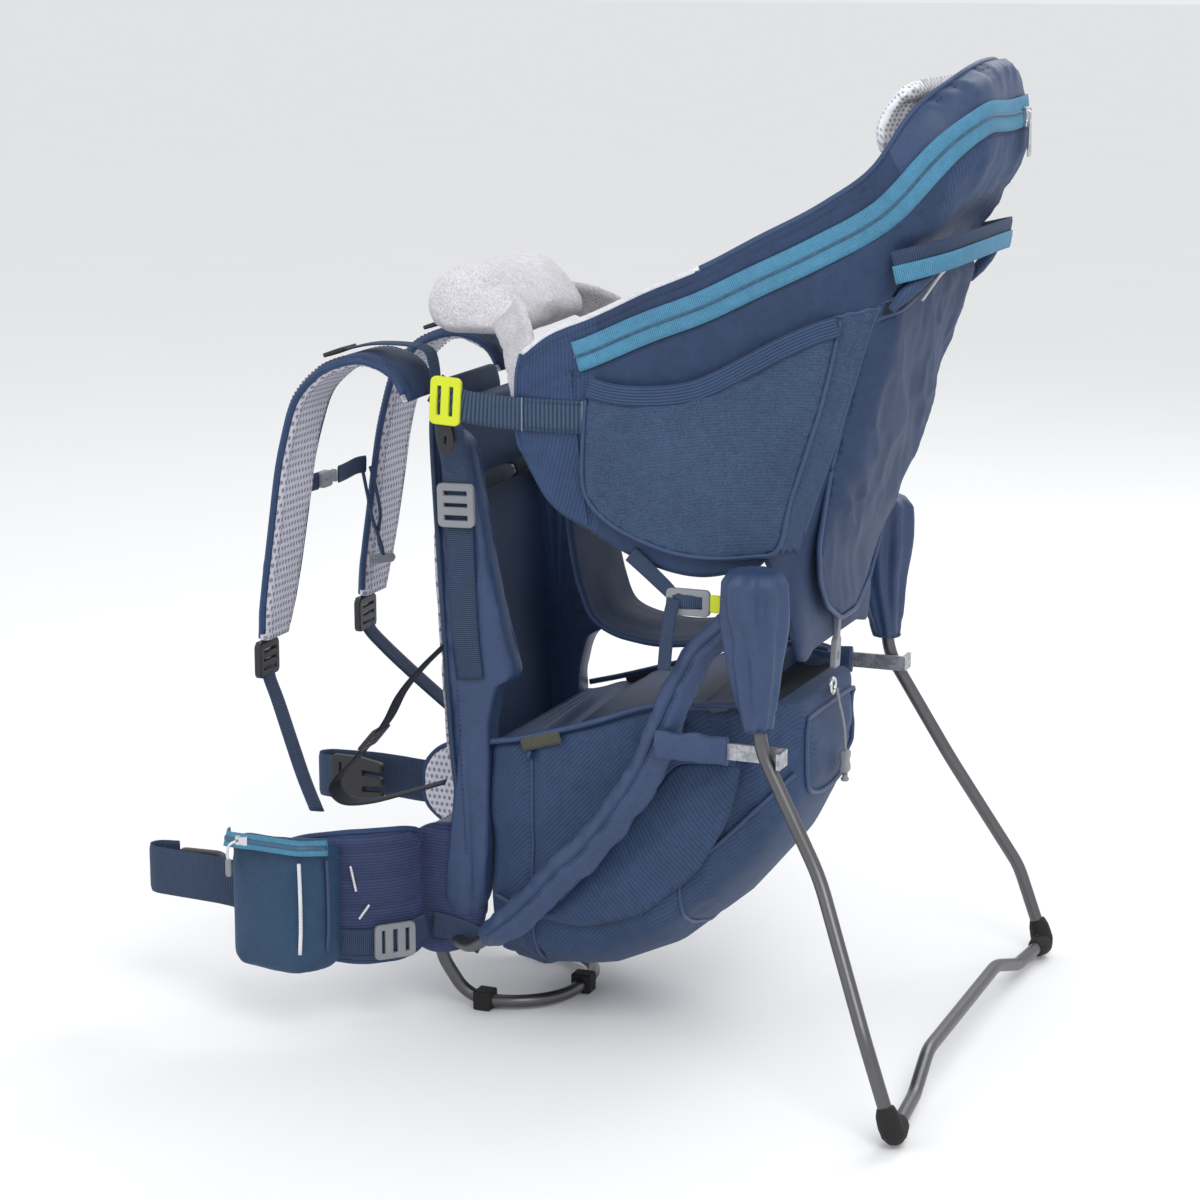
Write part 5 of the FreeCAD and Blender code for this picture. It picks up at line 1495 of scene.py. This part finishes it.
# ================================================================== hip belt
FP = [(-36, 113), (-42, 126), (-50, 138), (-62, 150), (-78, 160), (-97, 167.5), (-118, 172), (-143, 173.6), (-168, 174)]
for s, nm, body in ((-1, "left", "hip_left"), (1, "right", "hip_right")):
    sfp = surf_plan(FP, s)
    P_, N_ = sfp(np.array([120.0]), np.array([116.0]))
    if N_[0][1] * s < 0:
        sfp = surf_plan(FP, s, -1.0)
    LFN = sfp.length
    fo_ = [(0, 66), (20, 60), (60, 60), (100, 66), (138, 84), (LFN - 2, 98), (LFN, 118), (LFN - 2, 138), (140, 154), (104, 168), (66, 173), (20, 172), (0, 166)]

    def fdq(v2, P, d):
        return -1.8 * bump(np.mod(v2[:, 1], 24) - 12, 0, 1.8) * (d > 10) + folds(P, (0.8, 0.3, 0), 26, 3.0, 91) * 0.9

    fn_ = panel("hip_fin_" + nm + "_pad", fo_, sfp, [violet, mesh_m], t=12.0, step=4.0, crown=1.0, disp=fdq, corner=10, edge_r=6.5, back_mat=1)
    put(fn_, body, ("hip_fin_left" if s < 0 else "hip_fin_right",))
    q = round_corners(np.array(fo_, float), 10)
    Pp, Np = sfp(q[:, 0], q[:, 1])
    put(pipe("hip_fin_binding_" + nm, Pp[2:], 2.6, navy_rib, step=4), body)
    wpth = [(-120, s * 179.6, 118), (-145, s * 181, 118), (-168.6, s * 175.5, 119), (-192, s * 173.5, 121), (-218, s * 173, 122), (-246, s * 170.5, 122), (-261, s * 168, 122), (-268.5, s * 160, 122), (-264, s * 151, 122), (-248, s * 147, 122)]
    if s < 0:
        wpth = wpth[2:]
    wb = ribbon("hip_web_" + nm, wpth, (0, 0, 1), 41, [web], t=2.4, step=3, nw=10, wprof=None if True else None)
    put(wb, body, ("hip_webbing_left" if s < 0 else "hip_webbing_right",))
# pouch on the near fin
po = [(-78, -171), (-90, -176), (-120, -183.5), (-168, -186), (-169, -205), (-104, -209), (-84, -194)]
ph = pillow("hip_pouch_cloth", po, 60, 174, 14, [teal], axis=2, n=40, m=60, corner=8, taper=0.72)
puff(ph, 0.005, 4.0, 0.004)
nudge(ph, lambda p, n: folds(p, (0.2, 0.0, 1.0), 26, 3.0, 95) * 1.2 + folds(p, (1, 0, 0.2), 18, 3.0, 96) * 0.9 * (p[:, 2] > 140) - 1.4 * bump(p[:, 2], 158, 2.2))
project_uv(ph, (1, 0, 0), (0, 0, 1))
subdiv(ph)
put(ph, "hip_left", ("hip_pouch",))
zt = np.array([(-173, -194, 170), (-171, -205, 170), (-160, -209.0, 170.5), (-140, -210.5, 171.0), (-120, -211.8, 171), (-102, -211.5, 170.5), (-90, -203, 169.5), (-83, -194, 168)], float)
put(ribbon("pouch_zip_tape", zt, (0, 0.55, 0.84), 13, [light], t=1.2, step=3, nw=4), "hip_left")
zt2 = zt + np.array([(0 if i == 0 else 0, -1.0, 0.4) for i in range(len(zt))])
put(ribbon("pouch_zip_coil", zt2, (0, 0.55, 0.84), 4.0, [coil], t=1.6, step=3, nw=4), "hip_left")
put(pipe("pouch_piping", np.array([(-101, -212, 80), (-99, -213.4, 105), (-99, -213.4, 135), (-100, -212.5, 158)], float), 1.6, white, step=4), "hip_left")
put(pipe("pouch_piping_rear", np.array([(-84, -196, 80), (-82, -196.5, 105), (-82, -196.5, 135), (-83, -196, 158)], float), 1.6, navy_satin, step=4), "hip_left")
zb0, zb1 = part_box("pouch_zip_slider")
zc_ = np.array([(zb0[k] + zb1[k]) / 2 * 1000 for k in range(3)]) + np.array([X0, 0, 0])
zsb = plate("pouch_slider_a", [(-5, -3.6), (-1, -2.4), (5, -3.6), (5, 3.6), (-1, 2.4), (-5, 3.6)], [], 3.6, bright, zc_, (1, -0.058, 0), (0, 0, 1), 0.8, 1.0)
put(zsb, "pouch_zip", ("pouch_zip_slider",))
put(pipe("pouch_pull_cord", [zc_ + (-4, -2.6, 0), zc_ + (-9, -4.6, -3), zc_ + (-11, -5.4, -10), zc_ + (-10, -5.4, -17)], 1.2, white, step=2), "pouch_zip")
put(pillow("pouch_pull_tab", [(zc_[0] - 12.5, zc_[1] - 7.4), (zc_[0] - 7.5, zc_[1] - 7.4), (zc_[0] - 7.5, zc_[1] - 3.9), (zc_[0] - 12.5, zc_[1] - 3.9)], zc_[2] - 30, zc_[2] - 15, 3, grey, axis=2, n=12, m=24, corner=1.4), "pouch_zip")

# hip buckle halves
so = plate("hip_socket_a", [(-21, -16), (16, -16), (21, -12), (21, 12), (16, 16), (-21, 16)], [[(-17, -12), (-12.5, -12), (-12.5, 12), (-17, 12)], [(2, -14), (12, -14), (12, -9), (2, -9)], [(2, 9), (12, 9), (12, 14), (2, 14)]],
           10.0, black, (-226.7, -146.0, 118), unit((1, 0.05, 0)), (0, 0, 1), 2.4, 5.0, 1.2)
put(so, "hip_left", ("hip_buckle_socket",))
pr = plate("hip_prong_a", [(-25, -21), (0, -21), (24, -17), (24, -11), (4, -12), (4, -4), (24, -3), (24, 3), (4, 4), (4, 12), (24, 11), (24, 17), (0, 21), (-25, 21)], [[(-20, -17), (-15.5, -17), (-15.5, 17), (-20, 17)]],
           7.0, black, (-222.7, 146.2, 122), unit((1, -0.02, 0)), (0, 0, 1), 1.8, 2.2, 1.2)
put(pr, "hip_right", ("hip_buckle_prong",))

# ================================================================== stirrups, adjusters, leg covers
for s, nm in ((-1, "near"), (1, "far")):
    sp_ = [(-14, s * 112, 326), (-30, s * 121, 308), (-45, s * 129, 287), (-58, s * 131, 262), (-82, s * 131, 233), (-104, s * 131, 209), (-106, s * 131, 198), (-94, s * 131, 190), (-70, s * 130, 193), (-40, s * 122, 202), (-14, s * 112.5, 210)]
    rb = ribbon("stirrup_" + nm, sp_, (0, 1, 0), 24, [web_dark], t=2.0, step=3, nw=6)
    put(rb, "pack", ("foot_stirrup_left" if s < 0 else "foot_stirrup_right",))
    put(plate("stirrup_lock_" + nm, [(-15, -11), (15, -11), (15, 11), (-15, 11)], [[(-11.5, -8), (11.5, -8), (11.5, -4.5), (-11.5, -4.5)], [(-11.5, -1.5), (11.5, -1.5), (11.5, 2), (-11.5, 2)], [(-11.5, 5), (11.5, 5), (11.5, 8), (-11.5, 8)]],
              3.6, black, (-70, s * 131, 247.5), (0, 1, 0), unit((0.64, 0, 0.77)), 0.9, 3.0, 0.8), "pack", ())
    sbx = plate("side_adjuster_" + nm, [(-17, -9.5), (17, -9.5), (17, 9.5), (-17, 9.5)], [[(-13.5, -6), (-3, -6), (-3, 6), (-13.5, 6)], [(2, -6), (13, -6), (13, 6), (2, 6)]], 4.6, grey,
                (214, s * 152, 389.5), (1, 0, 0), (0, 0, 1), 1.2, 3.5, 1.2)
    put(sbx, "pack", ("side_buckles",) if s < 0 else ())
put(join("adjuster_tip_near", [plate("tipn", [(-3.5, -6), (4, -6), (5, 0), (4, 6), (-3.5, 6)], [], 3.4, green, (236, -151.4, 389.5), (1, 0, 0), (0, 0, 1), 1.0, 1.6)]), "pack", ())
put(mirror(bpy.data.objects["adjuster_tip_near"], "adjuster_tip_far"), "pack", ())
aw = ribbon("adjuster_web_near", [(165, -150.0, 424), (180, -150.8, 412), (197, -151.6, 398), (206, -154.2, 391), (216, -154.6, 390), (224, -152, 389.8), (234, -151.4, 389.5)], (0.35, 0, 0.94), 12, [web], t=1.8, step=3, nw=5, wprof=[14, 13, 12, 11, 11, 11, 11])
put(aw, "pack", ())
put(mirror(aw, "adjuster_web_far"), "pack", ())
for s, nm in ((-1, "near"), (1, "far")):
    rings = []
    zz = np.linspace(298, 424, 52)
    for i, z in enumerate(zz):
        ang = np.linspace(0, 2 * np.pi, 64, endpoint=False)
        t = i / 51.0
        g = np.clip((z - 298) / 92.0, 0, 1)
        g = 0.10 + 0.90 * g ** 0.85
        cx = 281 - 6.0 * g
        cy = 174.4 - 1.6 * g
        rx = 9.6 + 15.5 * g
        ry = 9.2 + 14.6 * g
        top = np.clip((424 - z) / 9.0, 0, 1) ** 0.5
        rx, ry = rx * (0.55 + 0.45 * top), ry * (0.6 + 0.4 * top)
        w = 1.0 + (0.05 + 0.03 * g) * np.sin(ang * 9 + 3.2 * t + 1.2 * np.sin(5 * t)) + 0.035 * np.sin(ang * 4 - 6 * t) + 0.07 * vnoise(np.stack([np.cos(ang) * 2.2, np.sin(ang) * 2.2, ang * 0 + t * 5], 1), 101)
        w = w - 0.05 * bump(z, 312, 3.0)
        rings.append(np.stack([cx + rx * w * np.cos(ang), s * (cy + ry * w * np.sin(ang)), 0 * ang + z], 1))
    lc = loft("leg_cover_" + nm, np.array(rings), navy_satin)
    tuple(M([(281, s * 174.4, 404)])[0])
    tuple(M([(281, s * 174.4, 345)])[0])
    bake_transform(lc)
    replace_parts(lc, "leg_sleeves") if s < 0 else None
    put(pipe("leg_cover_hem_" + nm, [(280.4 + 10.9 * math.cos(a), s * 174.4 + 10.4 * math.sin(a), 299.5) for a in np.linspace(0, 2 * math.pi, 20, endpoint=False)], 1.5, web, step=3, closed=True), "kickstand")
    # fabric round the front half of the stop bar
    bc = pillow("stop_bar_cover_" + nm, [(s * 161.5, 268), (s * 168.5, 268), (s * 168.5, 285), (s * 161.5, 285)], 0, 1, 0.2, navy_satin, axis=1, n=6, m=30) if False else None
    rr = []
    for x in np.linspace(192, 252, 30):
        ang = np.linspace(0, 2 * np.pi, 30, endpoint=False)
        e_ = 1 + 0.10 * vnoise(np.stack([np.cos(ang) * 1.5 + x / 9, np.sin(ang) * 1.5, ang * 0], 1), 111)
        rr.append(np.stack([0 * ang + x, s * (165 + 4.6 * np.cos(ang) * e_), 276.5 + 11.5 * np.sin(ang) * e_], 1))
    put(loft("stop_bar_cover_" + nm, np.array(rr), navy_satin), "pack")

# side gussets of the back: fabric that sheathes the stays and joins the back to the bag
for s, nm in ((-1, "near"), (1, "far")):
    go = [(-17, 500), (-4, 508), (8, 498), (17, 450), (27, 392), (40, 335), (50, 303), (34, 297), (25, 262), (24, 160), (20, 110), (4, 84), (-18, 92), (-12, 150), (-8, 200), (-13, 320), (-18, 440)]
    y0, y1 = sorted((s * 87.5, s * 111.5))
    gp = pillow("side_gusset_" + nm, go, y0, y1, 9, navy_satin, n=16, m=150, corner=8, taper=0.84)
    nudge(gp, lambda p, n: (folds(p, (0.15, 0, 1.0), 24, 5.0, 121) * 2.0 + folds(p, (0.7, 0, 0.7), 15, 4.0, 123) * 0.9 - 2.2 * bump(p[:, 0] - np.interp(p[:, 2], [84, 200, 300, 400, 500], [6, 6, 8, 2, -8]), 0, 2.4)) * (np.abs(n[:, 1]) > 0.35))
    put(gp, "pack", ())
    st3 = [(-13, s * 111.8, 470), (-8, s * 112.6, 400), (-4, s * 112.8, 320), (0, s * 112.8, 230), (4, s * 112.4, 150)]
    put(stitches("gusset_stitch_" + nm, st3, thread_m, pitch=4.2, dash=2.6), "pack")
    # webbing and ladder lock that adjust the wings
    put(ribbon("panel_web_" + nm, [(10, s * 150.6, 520), (6, s * 140, 505), (3, s * 126, 486), (2, s * 118.5, 462), (3, s * 116.5, 430), (4, s * 116.0, 390), (6, s * 115.2, 340), (10, s * 114.4, 300)], (1, 0, 0.05), 24, [web], t=2.0, step=4, nw=6), "pack", ())
    put(plate("panel_lock_" + nm, [(-15, -17), (15, -17), (15, 17), (-15, 17)], [[(-11.5, -13.5), (11.5, -13.5), (11.5, -7), (-11.5, -7)], [(-11.5, -2.5), (11.5, -2.5), (11.5, 3), (-11.5, 3)], [(-11.5, 7), (11.5, 7), (11.5, 13), (-11.5, 13)]],
              4.4, grey, (2, s * 120.5, 446), (1, 0, 0.03), (-0.03, 0, 1), 1.2, 4.0, 1.2), "pack", ())
    put(plate("wing_hook_" + nm, [(-4, -13), (5, -13), (7, -6), (4, 12), (-4, 12), (-6, 0)], [[(-1.5, -8), (2.5, -8), (2.5, 0), (-1.5, 0)]], 4.4, black, (6, s * 148, 508), (1, 0, 0), (0, 0, 1), 1.2, 2.0, 1.0), "pack", ())

# hip stabiliser webbing, its ladder lock, and two pale darts
for s, nm, body in ((-1, "left", "hip_left"), (1, "right", "hip_right")):
    sfp = surf_plan(FP, s)
    P_, N_ = sfp(np.array([120.0]), np.array([116.0]))
    if N_[0][1] * s < 0:
        sfp = surf_plan(FP, s, -1.0)
    u = np.array([4.0, 20, 40, 60, 80, 98, 110])
    v = np.array([86.0, 83, 80, 80, 82, 85, 88])
    Pp, Np = sfp(u, v)
    put(ribbon("stabiliser_web_" + nm, Pp + Np * 9.6, (0, 0, 1), 22, [web], t=2.0, step=3, nw=6), body, ())
    Pp, Np = sfp(np.array([34.0, 36.0]), np.array([80.0, 80.0]))
    xa_ = unit(Pp[1] - Pp[0])
    put(plate("stabiliser_lock_" + nm, [(-17, -14), (17, -14), (17, 14), (-17, 14)], [[(-13.5, -11), (-8, -11), (-8, 11), (-13.5, 11)], [(-3, -11), (3, -11), (3, 11), (-3, 11)], [(8, -11), (13, -11), (13, 11), (8, 11)]],
              4.2, grey, Pp[0] + Np[0] * 12.4, xa_, (0, 0, 1), 1.1, 4.0, 1.0), body, ())
    for (ua, ub, va, vb) in ((52, 60, 112, 100), (66, 62, 176 - 30, 176 - 52)):
        Pp, Np = sfp(np.linspace(ua, ub, 6), np.linspace(va, vb, 6))
        put(pipe("fin_dart_%s_%d" % (nm, ua), Pp + Np * 8.4, 1.1, white, step=2), body)

# thin cord loop with a keeper that hangs from the far strap
put(pipe("sternum_tail", [(-166, 66, 437), (-158, 60, 420), (-152, 56, 398), (-154, 55, 378), (-150, 54, 362)], 1.6, web, step=3), "harness")
put(pipe("sternum_tail_b", [(-170, 58, 437), (-164, 55, 415), (-158, 53, 392), (-150, 52, 372), (-148, 53, 361)], 1.6, web, step=3), "harness")
put(plate("sternum_keeper", [(-11, -3.5), (10, -3.5), (12, 0), (10, 3.5), (-11, 3.5)], [[(-8, -1.4), (-2, -1.4), (-2, 1.4), (-8, 1.4)]], 3.4, grey, (-150, 53, 358), (0.8, 0.6, 0.05), (0, 0, 1), 0.8, 1.4, 0.6), "harness", ())

# webbing tails below the side adjusters
for s, nm in ((-1, "near"), (1, "far")):
    put(ribbon("adjuster_tail_" + nm, [(203, s * 155.0, 392), (201, s * 158.5, 378), (199, s * 160.5, 358), (198, s * 163, 336)], (1, 0, 0.06), 11, [web], t=1.8, step=3, nw=5), "pack", ())

for s, nm in ((-1, "near"), (1, "far")):
    kp = [(406.5, s * 240.5, 33), (410, s * 240.9, 22), (412.6, s * 238.0, 13.0), (412.4, s * 229, 12.6), (411.6, s * 217, 13.4)]
    kf = pipe("stand_foot_" + nm, kp, 9.0, rubber, step=1.5, n=24, radii=[6.4, 8.6, 9.2, 9.4, 9.4, 9.2, 8.4, 6.4])
    nudge(kf, lambda p, n: 0.5 * bump(np.mod(p[:, 1] + 400, 5) - 2.5, 0, 0.9))
    put(kf, "kickstand", ("kickstand_feet",) if s < 0 else ())
    # padded root between the lumbar pad and the hip fin
    lo3 = [(-57, 152), (-40, 168), (-10, 172), (10, 158), (17, 130), (16, 92), (2, 64), (-28, 54), (-52, 62), (-60, 90)]
    y0, y1 = sorted((s * 90.0, s * 107.5))
    lr = pillow("hip_root_" + nm, lo3, y0, y1, 7, violet, n=14, m=90, corner=12, taper=0.85)
    nudge(lr, lambda p, n: (-1.6 * bump(np.mod(p[:, 2], 26) - 13, 0, 1.8) + folds(p, (0.9, 0, 0.3), 26, 3.0, 131) * 0.8) * (np.abs(n[:, 1]) > 0.4))
    project_uv(lr, (1, 0, 0), (0, 0, 1))
    put(lr, "pack", ())
    put(ribbon("root_web_" + nm, [(-28, s * 110.5, 84), (-12, s * 109.6, 82), (4, s * 109.6, 78), (17, s * 108, 72)], (0, 0, 1), 22, [web], t=2.0, step=3, nw=6), "pack", ())
    ang = np.linspace(0, 2 * np.pi, 24, endpoint=False)
    cb_ = np.array([[(-3.0 + 7.2 * math.cos(a) * e, s * y, 455 + 7.2 * math.sin(a) * e) for a in ang] for y, e in ((4, 0.9), (30, 1), (60, 1), (86, 1))])
    # the crossbar covers take the very dark navy, painted shade in the gap behind the back panel
    put(loft("crossbar_cover_" + nm, cb_, navy_shade), "pack", ())

cord_len = 0.0
ev = bpy.data.meshes.new_from_object(cord.evaluated_get(bpy.context.evaluated_depsgraph_get()))
bpy.data.meshes.remove(ev)
ex = M([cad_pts[0]])[0]
Lc = float(np.sum(np.linalg.norm(np.diff(M(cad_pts), axis=0), axis=1)))

# ================================================================== floor and light
bm = bmesh.new()
bmesh.ops.create_grid(bm, x_segments=24, y_segments=24, size=40.0)
me = bpy.data.meshes.new("floor")
bm.to_mesh(me)
bm.free()
flo_m = bpy.data.materials.new("pale_floor")
flo_m.use_nodes = True
nt = flo_m.node_tree
b = nt.nodes["Principled BSDF"]
tc = nt.nodes.new("ShaderNodeTexCoord").outputs["Object"]
nt.links.new(mixc(nt, noise(nt, tc, 3.0, 3.0), (0.88, 0.885, 0.89), (0.91, 0.91, 0.91)), b.inputs["Base Color"])
b.inputs["Roughness"].default_value = 0.7
b.inputs["Specular IOR Level"].default_value = 0.25
me.materials.append(flo_m)
me.polygons.foreach_set("use_smooth", [True] * len(me.polygons))
floor = bpy.data.objects.new("floor", me)
sc.collection.objects.link(floor)

w = bpy.data.worlds.new("studio")
sc.world = w
w.use_nodes = True
w.node_tree.nodes["Background"].inputs[0].default_value = (0.97, 0.98, 1.0, 1)
w.node_tree.nodes["Background"].inputs[1].default_value = 0.86


def area(name, loc, target, size, power, col=(1, 1, 1)):
    d = bpy.data.lights.new(name, "AREA")
    d.shape = "RECTANGLE"
    d.size, d.size_y = size
    d.energy = power
    d.color = col
    o = bpy.data.objects.new(name, d)
    sc.collection.objects.link(o)
    o.location = loc
    o.rotation_euler = (Vector(target) - Vector(loc)).to_track_quat("-Z", "Y").to_euler()
    return o


area("key", (1.6, -2.2, 2.6), (0.05, 0, 0.4), (1.6, 1.6), 46, (1.0, 0.99, 0.97))
area("fill", (-2.2, -1.8, 1.6), (0.0, 0, 0.4), (1.8, 1.8), 14, (0.95, 0.97, 1.0))
area("rim", (0.6, 2.0, 2.3), (0.1, 0, 0.5), (1.6, 1.2), 24)

sc.view_settings.view_transform = "Standard"
bpy.context.view_layer.update()
